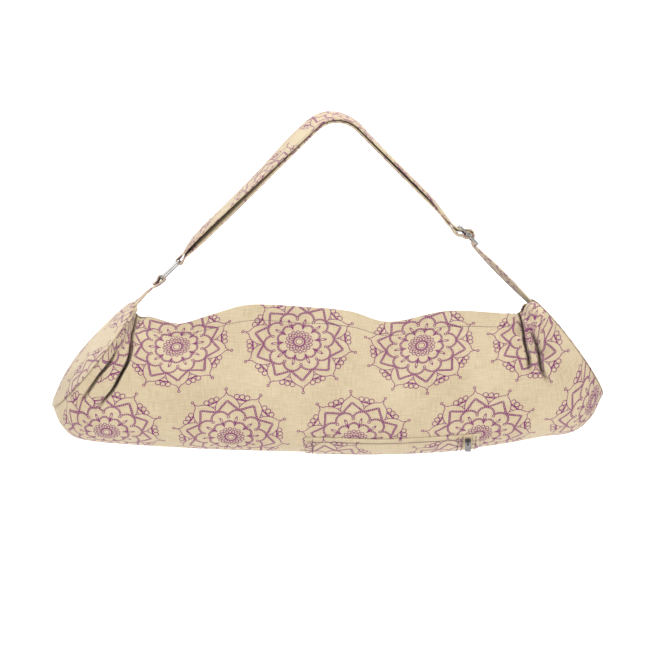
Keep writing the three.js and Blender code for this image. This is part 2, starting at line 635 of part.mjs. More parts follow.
function tabPath() {
  const seamRoll = sectionRoll(tips.left, -1);
  const points = sewnEnd(tips.left, -1, LEFT_BULGE, seamRoll);
  const lowerBar = ringMiddle - ringBarAt;
  const double = lowerBar - LOOP_SEWN;
  for (const share of TAB_STEPS) {
    points.push(strapPoint(double * share, 0, seamRoll * (1 - TAB_UNTURNS * smooth(share))));
  }
  const onLoop = (share) => THREE.MathUtils.lerp(double, lowerBar, share);
  points.push(strapPoint(onLoop(TAB_APPROACH.share), TAB_APPROACH.turns * ringTurn, 0));
  points.push(...roundBar(lowerBar, 0, ringTurn, -80, 110, BAR_STEPS));
  for (const { share, turns } of TAB_RETURN) {
    points.push(strapPoint(onLoop(share), layerStep + turns * ringTurn, 0));
  }
  return points;
}
add("strap_tab", band(tabPath()), colours.canvas);

// The frame of a piece of metal on the strap's line: x along the line, y to the back, z outwards.
function onLine(distance, height) {
  const { point, ahead, out } = linePlace(distance);
  const at = point.clone().addScaledVector(out, height);
  return new THREE.Matrix4()
    .makeBasis(
      new THREE.Vector3(ahead.x, 0, ahead.y),
      new THREE.Vector3(0, 1, 0),
      new THREE.Vector3(out.x, 0, out.y),
    )
    .setPosition(at.x, 0, at.y);
}

// The ring: round wire bent to a rectangle with rounded corners.
const CORNER_STEPS = 4;
const WIRE_SIDES = 10;
const CORNERS = [
  { ahead: 1, aside: 1, from: 0 },
  { ahead: -1, aside: 1, from: 90 },
  { ahead: -1, aside: -1, from: 180 },
  { ahead: 1, aside: -1, from: 270 },
];
function ring() {
  const straight = RING_LENGTH / 2 - RING_WIRE / 2 - RING_CORNER;
  const across = STRAP_WIDTH / 2 + METAL_SIDE - RING_CORNER;
  const centreline = [];
  for (const { ahead, aside, from } of CORNERS) {
    for (let k = 0; k <= CORNER_STEPS; k++) {
      const angle = THREE.MathUtils.degToRad(from + (90 * k) / CORNER_STEPS);
      const out = new THREE.Vector3(Math.cos(angle), Math.sin(angle), 0);
      const at = new THREE.Vector3(ahead * straight, aside * across, 0).addScaledVector(out, RING_CORNER);
      centreline.push({ at, out });
    }
  }
  const rings = centreline.map(({ at, out }) =>
    Array.from({ length: WIRE_SIDES }, (_, k) => {
      const angle = (-2 * Math.PI * k) / WIRE_SIDES;
      return at
        .clone()
        .addScaledVector(out, (Math.cos(angle) * RING_WIRE) / 2)
        .add(new THREE.Vector3(0, 0, (Math.sin(angle) * RING_WIRE) / 2));
    }),
  );
  return sweep(rings, true).applyMatrix4(onLine(ringMiddle, 0));
}
add("ring", ring(), colours.metal);

// A rectangle with rounded corners, as a Shape or as a Path for a hole.
function roundedRectangle(Kind, cx, cy, width, height, radius) {
  const [x0, x1, y0, y1] = [cx - width / 2, cx + width / 2, cy - height / 2, cy + height / 2];
  const path = new Kind();
  path.moveTo(x0 + radius, y0).lineTo(x1 - radius, y0);
  path.absarc(x1 - radius, y0 + radius, radius, -Math.PI / 2, 0);
  path.lineTo(x1, y1 - radius).absarc(x1 - radius, y1 - radius, radius, 0, Math.PI / 2);
  path.lineTo(x0 + radius, y1).absarc(x0 + radius, y1 - radius, radius, Math.PI / 2, Math.PI);
  path.lineTo(x0, y0 + radius).absarc(x0 + radius, y0 + radius, radius, Math.PI, 1.5 * Math.PI);
  return path;
}

// The slider: a flat frame with a middle bar.
function sliderBuckle() {
  const width = STRAP_WIDTH + 2 * METAL_SIDE + SLIDER_BAR;
  const outer = roundedRectangle(THREE.Shape, 0, 0, SLIDER_LENGTH, width, SLIDER_BAR);
  const slot = (SLIDER_LENGTH - 3 * SLIDER_BAR) / 2;
  for (const side of [-1, 1]) {
    const middle = side * (SLIDER_BAR / 2 + slot / 2);
    outer.holes.push(roundedRectangle(THREE.Path, middle, 0, slot, width - 2 * SLIDER_BAR, SLIDER_BAR / 3));
  }
  const depth = { depth: SLIDER_PLATE, bevelEnabled: false, curveSegments: CORNER_STEPS };
  const plate = new THREE.ExtrudeGeometry(outer, depth);
  return plate.translate(0, 0, -SLIDER_PLATE / 2).applyMatrix4(onLine(sliderMiddle, sliderLift));
}
add("slider_buckle", sliderBuckle(), colours.metal);

// The pocket lies on the belly. x is counted from the hanging point and cloth from the front's open edge.
const shareAtX = (x, girth) => {
  let [low, high] = [0.2, 0.85];
  for (let k = 0; k < 40; k++) {
    const middle = (low + high) / 2;
    if (plainPoint(middle, girth).point.x < x) low = middle;
    else high = middle;
  }
  return (low + high) / 2;
};

// A patch of cloth from the pocket's top edge to its lower one, standing off the belly by its puff.
const PATCH_ROWS = 10;
function patch(fromX, toX, columns, thickness, puff) {
  const rows = PATCH_ROWS;
  const grid = [];
  for (let i = 0; i <= rows; i++) {
    const girth = (POCKET_TOP + (POCKET_HEIGHT * i) / rows) / BELLY_GIRTH;
    const row = [];
    for (let j = 0; j <= columns; j++) {
      const x = THREE.MathUtils.lerp(fromX, toX, j / columns);
      row.push(plainPoint(shareAtX(x, girth), girth).point);
    }
    grid.push(row);
  }
  const outward = outwardOf(grid);
  const height = (extra) =>
    grid.map((row, i) =>
      row.map((p, j) => {
        const crown = Math.sin((Math.PI * i) / rows) * Math.sin((Math.PI * j) / columns);
        return p.clone().addScaledVector(outward[i][j], POCKET_LIFT + extra + puff * crown ** PUFF_FORM);
      }),
    );
  return wall(height(thickness), height(0));
}
const pocketRight = POCKET_LEFT + POCKET_WIDTH;
const zipRight = pocketRight + SEAM_GAP + ZIP_WIDTH;
const zipMiddle = pocketRight + SEAM_GAP + ZIP_WIDTH / 2;
const facingRight = zipRight + SEAM_GAP + FACING_WIDTH;
const PANEL_COLUMNS = 12;
add("pocket_panel", patch(POCKET_LEFT, pocketRight, PANEL_COLUMNS, CLOTH, POCKET_PUFF), colours.canvas);
add("pocket_zip", patch(pocketRight + SEAM_GAP, zipRight, 1, ZIP_THICKNESS, 0), colours.zipTape);
add("pocket_facing", patch(zipRight + SEAM_GAP, facingRight, 1, CLOTH, 0), colours.canvas);

// The zip's slider sits on the zip near the pocket's top edge, with a crown that the pull hangs from.
const SLIDER_BODY = { length: 8.4, width: 6.4, height: 2.6, corner: 1.8, edge: 0.4 };
const CROWN = { width: 2.2, thickness: 1.2, inside: 2.6, foot: 1.3, length: 7.2, sunk: 0.5, round: 0.4 };
const PULL = { width: 7.5, length: 11.5, thickness: 1.4, corner: 1.4, bar: 1.6, side: 2 };
const EYE = { width: PULL.width - 2 * PULL.side, length: 3.4, corner: 0.6 };
const CURVE_STEPS = 4;

function zipPlace() {
  const girth = (POCKET_TOP + ZIP_SLIDER_AT) / BELLY_GIRTH;
  const at = (g) => plainPoint(shareAtX(zipMiddle, g), g).point;
  const step = 2 / BELLY_GIRTH;
  const run = at(girth + step).sub(at(girth - step)).setX(0).normalize();
  const out = new THREE.Vector3().crossVectors(run, new THREE.Vector3(1, 0, 0)).normalize();
  const base = at(girth).addScaledVector(out, POCKET_LIFT + ZIP_THICKNESS + ZIP_SLIDER_GAP);
  return { run, out, base };
}
const zip = zipPlace();
const zipFrame = new THREE.Matrix4()
  .makeBasis(new THREE.Vector3(1, 0, 0), zip.run.clone().negate(), zip.out)
  .setPosition(zip.base);

// A closed three.js geometry as a solid for joining, and back again.
function toSolid(geometry) {
  const bare = geometry.clone();
  bare.deleteAttribute("normal");
  bare.deleteAttribute("uv");
  const merged = mergeVertices(bare, 1e-4);
  return new wasm.Manifold(
    new wasm.Mesh({
      numProp: 3,
      vertProperties: new Float32Array(merged.attributes.position.array),
      triVerts: new Uint32Array(merged.index.array),
    }),
  );
}
function fromSolid(solid) {
  const mesh = solid.getMesh();
  const geometry = new THREE.BufferGeometry();
  geometry.setAttribute("position", new THREE.BufferAttribute(Float32Array.from(mesh.vertProperties), 3));
  geometry.setIndex(Array.from(mesh.triVerts));
  return geometry;
}

function zipSlider() {
  const { length, width, height, corner, edge } = SLIDER_BODY;
  const body = new THREE.ExtrudeGeometry(roundedRectangle(THREE.Shape, 0, 0, width, length, corner), {
    depth: height - 2 * edge,
    bevelThickness: edge,
    bevelSize: edge,
    bevelSegments: 1,
    curveSegments: CURVE_STEPS,
  }).translate(0, 0, edge);
  const arch = new THREE.Shape();
  const top = CROWN.inside + CROWN.thickness;
  const half = CROWN.length / 2;
  const inner = half - CROWN.foot;
  const shoulder = top * (1 - CROWN.round);
  const flatHalf = half * (1 - CROWN.round);
  arch.moveTo(-half, -CROWN.sunk).lineTo(-half, shoulder).quadraticCurveTo(-half, top, -flatHalf, top);
  arch.lineTo(flatHalf, top).quadraticCurveTo(half, top, half, shoulder).lineTo(half, -CROWN.sunk);
  arch.lineTo(inner, -CROWN.sunk).lineTo(inner, CROWN.inside * (1 - CROWN.round));
  arch.lineTo(inner * (1 - CROWN.round), CROWN.inside).lineTo(-inner * (1 - CROWN.round), CROWN.inside);
  arch.lineTo(-inner, CROWN.inside * (1 - CROWN.round)).lineTo(-inner, -CROWN.sunk);
  const crownDepth = { depth: CROWN.width, bevelEnabled: false, curveSegments: CURVE_STEPS };
  const crown = new THREE.ExtrudeGeometry(arch, crownDepth)
    .translate(0, 0, -CROWN.width / 2)
    .rotateX(Math.PI / 2)
    .rotateZ(Math.PI / 2)
    .translate(0, 0, height);
  return fromSolid(toSolid(body).add(toSolid(crown)));
}
const zipSliderMesh = add("zip_slider", zipSlider(), colours.darkMetal);
zipSliderMesh.applyMatrix4(zipFrame);

// The pull: its top bar lies under the crown, and it hangs straight down from there.
function zipPull() {
  const { width, length, thickness, corner, bar } = PULL;
  const outer = roundedRectangle(THREE.Shape, 0, bar / 2 - length / 2, width, length, corner);
  const eyeAt = -bar / 2 - EYE.length / 2;
  outer.holes.push(roundedRectangle(THREE.Path, 0, eyeAt, EYE.width, EYE.length, EYE.corner));
  const depth = { depth: thickness, bevelEnabled: false, curveSegments: CURVE_STEPS };
  return new THREE.ExtrudeGeometry(outer, depth)
    .translate(0, 0, -thickness / 2)
    .rotateX(Math.PI / 2);
}
const pivot = zip.base.clone().addScaledVector(zip.out, SLIDER_BODY.height + CROWN.inside / 2);
const pull = add("zip_pull", zipPull(), colours.metal);
pull.position.copy(pivot);

export default bag;
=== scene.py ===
"""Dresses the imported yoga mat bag: printed canvas, stitching, a zipped pocket and steel hardware.

The bag's forms are worked out in millimetres, from the same sizes as the solids that they stand for, and every
finished mesh is in metres, in the frame's own place.
"""
import math

import bpy
import numpy as np
from bpy.props import FloatProperty, FloatVectorProperty, PointerProperty
from bpy.types import Operator, Panel, PropertyGroup
from mathutils import Matrix, Vector, noise


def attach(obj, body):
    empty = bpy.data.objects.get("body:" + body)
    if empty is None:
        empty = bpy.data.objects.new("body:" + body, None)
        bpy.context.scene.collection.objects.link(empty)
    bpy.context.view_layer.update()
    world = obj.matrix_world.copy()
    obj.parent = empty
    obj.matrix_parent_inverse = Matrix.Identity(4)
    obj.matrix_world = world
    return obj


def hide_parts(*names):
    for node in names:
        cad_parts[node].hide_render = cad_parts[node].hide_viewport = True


bl_info = {
    "name": "Yoga mat bag",
    "version": (1, 0, 0),
    "blender": (4, 5, 0),
    "location": "3D View > Sidebar > Mat Bag",
    "description": "Printed canvas, stitching, zip and steel for a hanging yoga mat bag",
    "category": "Object",
}

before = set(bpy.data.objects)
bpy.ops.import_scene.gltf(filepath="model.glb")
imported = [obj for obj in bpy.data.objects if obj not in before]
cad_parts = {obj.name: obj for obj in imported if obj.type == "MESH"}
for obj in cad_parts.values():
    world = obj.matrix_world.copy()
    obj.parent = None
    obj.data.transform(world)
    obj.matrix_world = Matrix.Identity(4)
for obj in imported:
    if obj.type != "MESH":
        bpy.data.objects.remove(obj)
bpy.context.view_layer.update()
MM = 0.001
BODY = "root"

# The bag's cloth, in millimetres
BAG_LENGTH = 686
BAG_HEIGHT = 187.5
BAG_DEPTH = 122
BELLY_ROUND = 0.33
BELLY_SWELL = 0.42
END_WIDTH = 150
BAG_OFFSET = -12.75
TIP_DROP = 226
FOLD_MOUTH = 8
SEAM_GAP = 0.3
LEFT_BULGE = 13
RIGHT_BULGE = 4
BULGE_AT = 0.6
BULGE_FORM = 1.5

# The strap and its metal, in millimetres
STRAP_SEWN = 16
STRAP_SEAM = 9
STRAP_CLEARANCE = 0.5
SEWN_CLEARANCE = 0.72
MOUTH_CLEARANCE = 0.8
PEG_RADIUS = 34
TAB_LENGTH = 74
SLIDER_DISTANCE = 124.5
LOOP_SEWN = 20
RING_LENGTH = 34
RING_CORNER = 3.7
SLIDER_LENGTH = 34
SLIDER_BAR = 3
SLIDER_PLATE = 2.4
METAL_SIDE = 3
SINGLE_ROLL = -6

# The pocket, in millimetres
POCKET_WIDTH = 195
POCKET_HEIGHT = 105
POCKET_TOP = 177
POCKET_LEFT = -40
POCKET_PUFF = 1.2
PUFF_FORM = 0.6
POCKET_LIFT = 0.7
ZIP_WIDTH = 11
ZIP_THICKNESS = 1.2
FACING_WIDTH = 8


def table(columns, rows):
    """A table's columns by name."""
    return dict(zip(columns.split(), np.array(rows, float).T))


# Sections from the left round end to the right one, as shares of the bag's length and height
SECTIONS = table(
    "along top_x top_drop low_x low_drop belly turn",
    [
        (0.0, -0.355, 0.0, -0.5, 0.672, 0.0, 0.2),
        (0.035, -0.3495, 0.025, -0.487, 0.785, 0.12, 0.15),
        (0.07, -0.343, 0.08, -0.465, 0.869, 0.3, 0.1),
        (0.12, -0.3215, 0.082, -0.4275, 0.907, 0.55, 0.05),
        (0.2, -0.27, 0.127, -0.35, 0.933, 0.85, 0.0),
        (0.3, -0.2, 0.055, -0.234, 0.958, 1.0, 0.0),
        (0.38, -0.139, 0.0, -0.146, 0.969, 1.0, 0.0),
        (0.46, -0.05, 0.012, -0.05, 0.979, 1.0, 0.0),
        (0.55, 0.043, 0.045, 0.043, 0.983, 1.0, 0.0),
        (0.61, 0.11, 0.115, 0.11, 0.981, 1.0, 0.0),
        (0.7, 0.217, 0.042, 0.218, 0.965, 1.0, 0.0),
        (0.79, 0.294, 0.05, 0.311, 0.93, 0.9, 0.0),
        (0.86, 0.333, 0.062, 0.386, 0.88, 0.65, 0.0),
        (0.92, 0.352, 0.05, 0.447, 0.846, 0.35, 0.01),
        (0.96, 0.362, 0.005, 0.48, 0.75, 0.15, 0.03),
        (1.0, 0.374, -0.022, 0.5, 0.603, 0.0, 0.05),
    ],
)

# Folds beside the tips: their places at three heights, depth and the heights between which they run
FOLDS = [
    {"top": 0.022, "middle": 0.047, "low": 0.038, "depth": 0.2, "lip": 0, "back": 0.8,
     "start": 0.2, "full": 0.45, "fade": 0.6, "end": 0.8},
    {"top": 0.05, "middle": 0.115, "low": 0.098, "depth": 0.42, "lip": 0.35, "back": 0.75,
     "start": 0, "full": 0.25, "fade": 0.5, "end": 0.75},
    {"top": 0.9, "middle": 0.871, "low": 0.855, "depth": 0.27, "lip": 0.7, "back": 0.9,
     "start": 0, "full": 0.15, "fade": 0.28, "end": 0.5},
    {"top": 0.932, "middle": 0.906, "low": 0.9, "depth": 0.22, "lip": 0, "back": 0.7,
     "start": 0.1, "full": 0.28, "fade": 0.4, "end": 0.62},
]
FOLD_HEIGHTS = {"top": 0, "middle": 0.35, "low": 0.65}

# The doubled strap from the ring to the slider: rolls in degrees, slack as a share of its thickness
LAYERS = table(
    "along outer_roll inner_roll slack",
    [
        (0.0, 0, 0, 0.2),
        (0.07, 11, 18, 0.1),
        (0.22, 14, 21, 0.1),
        (0.33, 18, 22, 0.1),
        (0.43, 25, 27, 0.05),
        (0.49, 26, 27, 0.05),
        (0.54, 23, 24, 0.05),
        (0.6, 12, 14, 0.05),
        (0.67, 8, 10, 0.05),
        (0.8, 7, 10, 0.05),
        (0.92, 7, 10, 0.05),
        (0.97, 6, 8, 0.05),
        (1.0, 0, 0, 0.1),
    ],
)


def span(name, description, default):
    """A size that can be set, in metres."""
    return FloatProperty(name=name, description=description, default=default, unit="LENGTH")


def tint(name, description, default):
    """A colour that can be set."""
    return FloatVectorProperty(name=name, description=description, default=default, subtype="COLOR", min=0, max=1)


class CanvasSettings(PropertyGroup):
    """Sizes and colours of the cloth."""

    cloth: span("Cloth", "Thickness of the canvas", 0.0014)
    hem_cloth: span("Hem", "Thickness of the folded hem", 0.0024)
    hem_depth: span("Hem depth", "From the open edge to its stitching", 0.022)
    thread: span("Thread pitch", "From one thread of the weave to the next", 0.0009)
    colour: tint("Canvas", "Colour of the bare canvas", (0.525, 0.435, 0.298))
    slub_colour: tint("Slubs", "Colour of its darker threads", (0.415, 0.33, 0.208))
    # The stitches' colour: the thread's own purple-brown, darkened nearly to black as painted shade of the groove
    # that the stitches sink into.
    thread_and_groove_shade_colour: tint("Sewing thread", "Colour of the stitches", (0.09, 0.04, 0.06))


class PrintSettings(PropertyGroup):
    """Sizes and colours of the printed ornament."""

    pitch: span("Pitch", "Between ornaments in one row", 0.153)
    row_pitch: span("Row pitch", "Between rows of ornaments", 0.131)
    radius: span("Radius", "From an ornament's middle to its tips", 0.0735)
    ink: tint("Ink", "Colour of the print", (0.15, 0.01, 0.11))


class MetalSettings(PropertyGroup):
    """Sizes and colours of the hardware."""

    wire: span("Wire", "Thickness of the ring", 0.0034)
    strap_width: span("Strap", "Width of the strap", 0.038)
    strap_thickness: span("Strap thickness", "Of one layer", 0.0024)
    # The steel's colour is set darker than the metal's own: a painted reflection of dark surroundings, which the
    # white stage lacks.
    steel: tint("Steel", "Colour of the bright metal", (0.4, 0.39, 0.38))
    dark: tint("Zip slider", "Colour of the dark metal", (0.015, 0.014, 0.014))


class StageSettings(PropertyGroup):
    """Places of the floor and the camera."""

    floor: span("Floor", "Height of the floor", -0.72)
    camera_place: FloatVectorProperty(
        name="Camera", description="Place of the camera, in front of the bag", default=(-0.0155, -3.2, -0.251),
        subtype="TRANSLATION", unit="LENGTH",
    )
    lens: FloatProperty(name="Lens", description="Focal length", default=141.8, unit="CAMERA")
    colour: tint("Backdrop", "Colour of the floor and backdrop", (0.95, 0.95, 0.95))


class MatBagSettings(PropertyGroup):
    """Everything that can be set on the bag."""

    canvas: PointerProperty(type=CanvasSettings)
    ornament: PointerProperty(type=PrintSettings)
    metal: PointerProperty(type=MetalSettings)
    stage: PointerProperty(type=StageSettings)


def settings():
    """The scene's settings for the bag."""
    return bpy.context.scene.mat_bag


def mm(size):
    """A size that was set in metres, in millimetres."""
    return size / MM


# Curves and grids


def curve_through(columns, name, share):
    """A smooth curve through one column of a table."""
    x, y = columns["along"], columns[name]
    last = len(x) - 1
    share = np.asarray(share, float)
    i = np.clip(np.searchsorted(x, share, side="left") - 1, 0, last - 1)

    def slope(k):
        before, after = np.clip(k - 1, 0, last), np.clip(k + 1, 0, last)
        return (y[after] - y[before]) / (x[after] - x[before])

    step = x[i + 1] - x[i]
    t = (share - x[i]) / step
    a, b = y[i], y[i + 1]
    u, v = slope(i) * step, slope(i + 1) * step
    return a + t * (u + t * (3 * (b - a) - 2 * u - v + t * (2 * (a - b) + u + v)))


def smooth(t):
    """A smooth step from 0 to 1."""
    t = np.clip(t, 0, 1)
    return t * t * (3 - 2 * t)


def lerp(a, b, t):
    return a + (b - a) * t


def unit(v):
    """The same directions with length 1."""
    v = np.asarray(v, float)
    return v / np.linalg.norm(v, axis=-1, keepdims=True)


def ripple(points, size, seed=0.0):
    """Soft noise from -1 to 1 over a grid of points. size is that of its waves."""
    shift = Vector((seed, seed * 0.7, -seed))
    flat = [noise.noise(Vector(p) / size + shift) for p in points.reshape(-1, 3)]
    return np.array(flat).reshape(points.shape[:-1])


def half_mouth():
    """Half the width of the bag's mouth, out to the hem's outer face."""
    return mm(settings().metal.strap_width) / 2 + MOUTH_CLEARANCE + mm(settings().canvas.hem_cloth)


def belly_outline(steps=400):
    """Half of the hanging belly's outline, across and down, and the length along it."""
    mouth, side = half_mouth(), BAG_DEPTH / 2
    top = BAG_HEIGHT * (1 - BELLY_ROUND)
    t = np.linspace(0, 1, steps)[:, None]
    corners = [(mouth, 0), (mouth + (side - mouth) * BELLY_SWELL, top / 3), (side, top * 2 / 3), (side, top)]
    a, b, c, d = (np.array(p) for p in corners)
    wall = a * (1 - t) ** 3 + 3 * b * t * (1 - t) ** 2 + 3 * c * t**2 * (1 - t) + d * t**3
    turn = t[1:, 0] * math.pi / 2
    round_part = np.stack([side * np.cos(turn), top + BAG_HEIGHT * BELLY_ROUND * np.sin(turn)], axis=1)
    line = np.concatenate([wall, round_part])
    length = np.concatenate([[0], np.cumsum(np.linalg.norm(np.diff(line, axis=0), axis=1))])
    return line, length


class Tube:
    """The bag's tube of cloth, from its sections and folds."""

    def __init__(self):
        self.line, self.length = belly_outline()
        self.half_girth = float(self.length[-1])

    def outline(self, girth, belly):
        """Half a section's outline as shares of half its width and of its height."""
        at = girth * self.half_girth
        hanging_x = np.interp(at, self.length, self.line[:, 0])
        hanging_y = np.interp(at, self.length, self.line[:, 1])
        opening = math.asin(half_mouth() / (END_WIDTH / 2))
        angle = opening + (math.pi - opening) * girth
        across = lerp(np.sin(angle), hanging_x / (BAG_DEPTH / 2), belly)
        round_down = (math.cos(opening) - np.cos(angle)) / (1 + math.cos(opening))
        return across, lerp(round_down, hanging_y / BAG_HEIGHT, belly)

    def section(self, share):
        """A section's highest and lowest points, half its width, its form, turn and directions."""
        def point(x, drop):
            along_x = BAG_OFFSET + BAG_LENGTH * curve_through(SECTIONS, x, share)
            height = -TIP_DROP - BAG_HEIGHT * curve_through(SECTIONS, drop, share)
            return np.stack([along_x, np.zeros_like(along_x), height], axis=-1)

        top, low = point("top_x", "top_drop"), point("low_x", "low_drop")
        belly = curve_through(SECTIONS, "belly", share)
        turn = curve_through(SECTIONS, "turn", share)
        axis = unit(low - top)
        normal = np.stack([-axis[..., 2], np.zeros_like(belly), axis[..., 0]], axis=-1)
        facing = normal.copy()
        facing[..., 1] = turn
        return {
            "top": top, "low": low, "belly": belly, "turn": turn, "normal": normal,
            "half": lerp(END_WIDTH / 2, BAG_DEPTH / 2, belly), "facing": unit(facing),
        }

    def plain(self, share, girth):
        """Points of the tube before it is folded. girth runs from 0 at the front's open edge to 2."""
        share, girth = np.broadcast_arrays(np.asarray(share, float), np.asarray(girth, float))
        s = self.section(share)
        side = np.where(girth <= 1, -1.0, 1.0)
        across, down = self.outline(np.where(girth <= 1, girth, 2 - girth), s["belly"])
        y = side * across * s["half"]
        point = lerp(s["top"], s["low"], down[..., None])
        point = point + s["normal"] * (-y * s["turn"])[..., None]
        point[..., 1] = y
        return point, lerp(s["top"], s["low"], 0.5), down, side

    def folded(self, share, girth):
        """Points of the folded tube: each fold draws the cloth in, between lips that nearly meet."""
        share, girth = np.broadcast_arrays(np.asarray(share, float), np.asarray(girth, float))
        _, _, down, side = self.plain(share, girth)
        moved, depth = share.copy(), np.zeros_like(share)
        for fold in FOLDS:
            at = fold_at(fold, down)
            off = (share - at) / MOUTH_SHARE
            a = np.clip(np.abs(off), 0, 1)
            here = fold_depth(fold, down, side)
            closed = np.clip(here / FOLD_CLOSES, 0, 1)
            narrow = lerp(a, a**FOLD_NARROW, closed)
            moved = np.where(a < 1, at + np.sign(off) * narrow * MOUTH_SHARE, moved)
            valley = 0.5 + 0.5 * np.cos(math.pi * np.clip(a / FOLD_WALL, 0, 1))
            lip = np.sin(math.pi * a) ** 2 * LIP_RISE * closed
            depth = depth + np.where(a < 1, here * valley - lip, 0)
        point, centre, _, _ = self.plain(moved, girth)
        inward = unit(centre - point)
        return point + inward * depth[..., None]


MOUTH_SHARE = FOLD_MOUTH / BAG_LENGTH
FOLD_CLOSES = 24  # depth in millimetres past which a fold's lips come together
FOLD_NARROW = 1.45
FOLD_WALL = 0.85
FOLD_SWERVE = 0.0032  # how far a fold swerves, as a share of the bag's length
LIP_RISE = 1.3


def fold_at(fold, down):
    """Where a fold's valley runs at a height. It isn't quite straight."""
    h = np.minimum(down, FOLD_HEIGHTS["low"])
    t, m, w = (FOLD_HEIGHTS[k] for k in ("top", "middle", "low"))
    swerve = FOLD_SWERVE * np.sin(down * 19 + fold["top"] * 50) * smooth(down / 0.15)
    return (
        swerve
        + fold["top"] * (h - m) * (h - w) / ((t - m) * (t - w))
        + fold["middle"] * (h - t) * (h - w) / ((m - t) * (m - w))
        + fold["low"] * (h - t) * (h - m) / ((w - t) * (w - m))
    )


def fold_depth(fold, down, side):
    """How deep a fold is at a height."""
    rising = fold["lip"] + (1 - fold["lip"]) * smooth((down - fold["start"]) / (fold["full"] - fold["start"]))
    ending = 1 - smooth((down - fold["fade"]) / (fold["end"] - fold["fade"]))
    return fold["depth"] * (END_WIDTH / 2) * rising * ending * np.where(side < 0, 1, fold["back"])


# Meshes


def select_only(obj):
    """Makes an object the one that operators act on."""
    bpy.ops.object.select_all(action="DESELECT")
    obj.select_set(True)
    bpy.context.view_layer.objects.active = obj
    return obj


def mesh_object(name, points, faces, uvs=None, slots=None):
    """A mesh from points in millimetres, with a map in millimetres of cloth for each face corner."""
    mesh = bpy.data.meshes.new(name)
    mesh.from_pydata([tuple(p) for p in np.asarray(points) * MM], [], faces)
    if uvs is not None:
        layer = mesh.uv_layers.new(name="cloth")
        maps = np.asarray(uvs, float) * MM
        if len(maps) != len(mesh.loops):
            corner = np.zeros(len(mesh.loops), np.int32)
            mesh.loops.foreach_get("vertex_index", corner)
            maps = maps[corner]
        layer.data.foreach_set("uv", maps.astype(np.float32).ravel())
    if slots is not None:
        mesh.polygons.foreach_set("material_index", np.asarray(slots, np.int32))
    mesh.polygons.foreach_set("use_smooth", np.ones(len(mesh.polygons), bool))
    mesh.update()
    obj = bpy.data.objects.new(name, mesh)
    bpy.context.scene.collection.objects.link(obj)
    return obj


def finish_piece(obj, replaced=(), materials=()):
    """Gives a piece its materials, hangs it from the bag's body empty, and hides the solids that it stands in for.
    """
    for material in materials:
        obj.data.materials.append(material)
    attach(obj, BODY)
    if replaced:
        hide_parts(*replaced)
    return obj


def outward_of(grid):
    """The outward direction of a grid whose rows run round the bag and whose columns run along it."""
    down = np.gradient(grid, axis=0)
    right = np.gradient(grid, axis=1)
    return unit(np.cross(down, right))


RIM_ANGLES = np.radians([40, 90, 140])


def cloth_wall(name, outer, inner, cloth_map, inner_map, printed_inside=None):
    """A closed sheet from its outer and inner grids, with round rims along its first and last rows.

    printed_inside says for each row whether the inner face shows the print too.
    """
    rows, columns = outer.shape[:2]

    def rim(row, neighbour):
        middle = (outer[row] + inner[row]) / 2
        reach = outer[row] - middle
        away = unit(outer[row] - outer[neighbour]) * np.linalg.norm(reach, axis=-1, keepdims=True)
        return [middle + reach * math.cos(a) + away * math.sin(a) for a in RIM_ANGLES]

    last = rim(rows - 1, rows - 2)
    first = rim(0, 1)[::-1]
    ring = [*outer, *last, *inner[::-1], *first]
    maps = [*cloth_map]
    maps += [lerp(cloth_map[-1], inner_map[-1], 0.5)] * len(last)
    maps += [*inner_map[::-1]]
    maps += [lerp(cloth_map[0], inner_map[0], 0.5)] * len(first)
    count = len(ring)
    plain = np.zeros(count, bool)
    if printed_inside is not None:
        plain[rows + len(last): rows * 2 + len(last)] = ~np.asarray(printed_inside)[::-1]
    faces, slots = [], []
    for i in range(count):
        k = (i + 1) % count
        bare = bool(plain[i] and plain[k])
        for j in range(columns - 1):
            faces.append((i * columns + j, k * columns + j, k * columns + j + 1, i * columns + j + 1))
            slots.append(int(bare))
    for j, flip in ((0, False), (columns - 1, True)):
        caps = []
        for i in range(rows - 1):
            low, high = rows * 2 + len(last) - 1 - i, rows * 2 + len(last) - 2 - i
            caps.append([i, low, high, i + 1])
        caps.append([rows - 1, *range(rows + len(last), rows - 1, -1)])
        caps.append([0, *range(count - 1, rows * 2 + len(last) - 2, -1)])
        for cap in caps:
            face = [c * columns + j for c in cap]
            faces.append(tuple(reversed(face)) if flip else tuple(face))
            slots.append(0)
    points = np.concatenate(ring)
    return mesh_object(name, points, faces, np.concatenate(maps), slots)


# The tube of cloth

END_COLUMNS = [0, 0.7, 1.5, 2.6, 4.2]  # millimetres from a round end's seam
FOLD_COLUMNS = np.linspace(-1, 1, 31)
PLAIN_COLUMNS = [5, 6, 128, 7, 10]
HEM_ROWS = [0, 2, 5, 9, 13, 17, 19, 20.2, 21, 21.8, 23, 25.5]
PLAIN_ROWS = 56
STITCH_AT = 21.0
# Crumpled places: along, below the open edge, width, height, depth and the size of the crumples
CRUMPLES = [
    (0.895, 46, 27, 32, 9.0, 15),
    (0.87, 20, 20, 18, 5.0, 12),
    (0.93, 80, 18, 24, 5.0, 14),
    (0.09, 128, 24, 34, 4.6, 16),
    (0.03, 24, 18, 26, 3.0, 12),
]
# Rounded lobes of cloth beside the tips: along, below the open edge, width, height and how far they stand out
LOBES = [(15, 12, 11, 17, 5.5), (BAG_LENGTH - 26, 14, 17, 18, 4.0), (58, 92, 10, 48, 3.0)]
RIGHT_HIDDEN = 0.5  # share of the right folds' depth of cloth that the print runs through
PRINT_FOLLOWS = 0.4  # share of the open edge's dips that the print doesn't follow
EVEN_AT = 0.505  # the share of the way along at which the print runs straight down


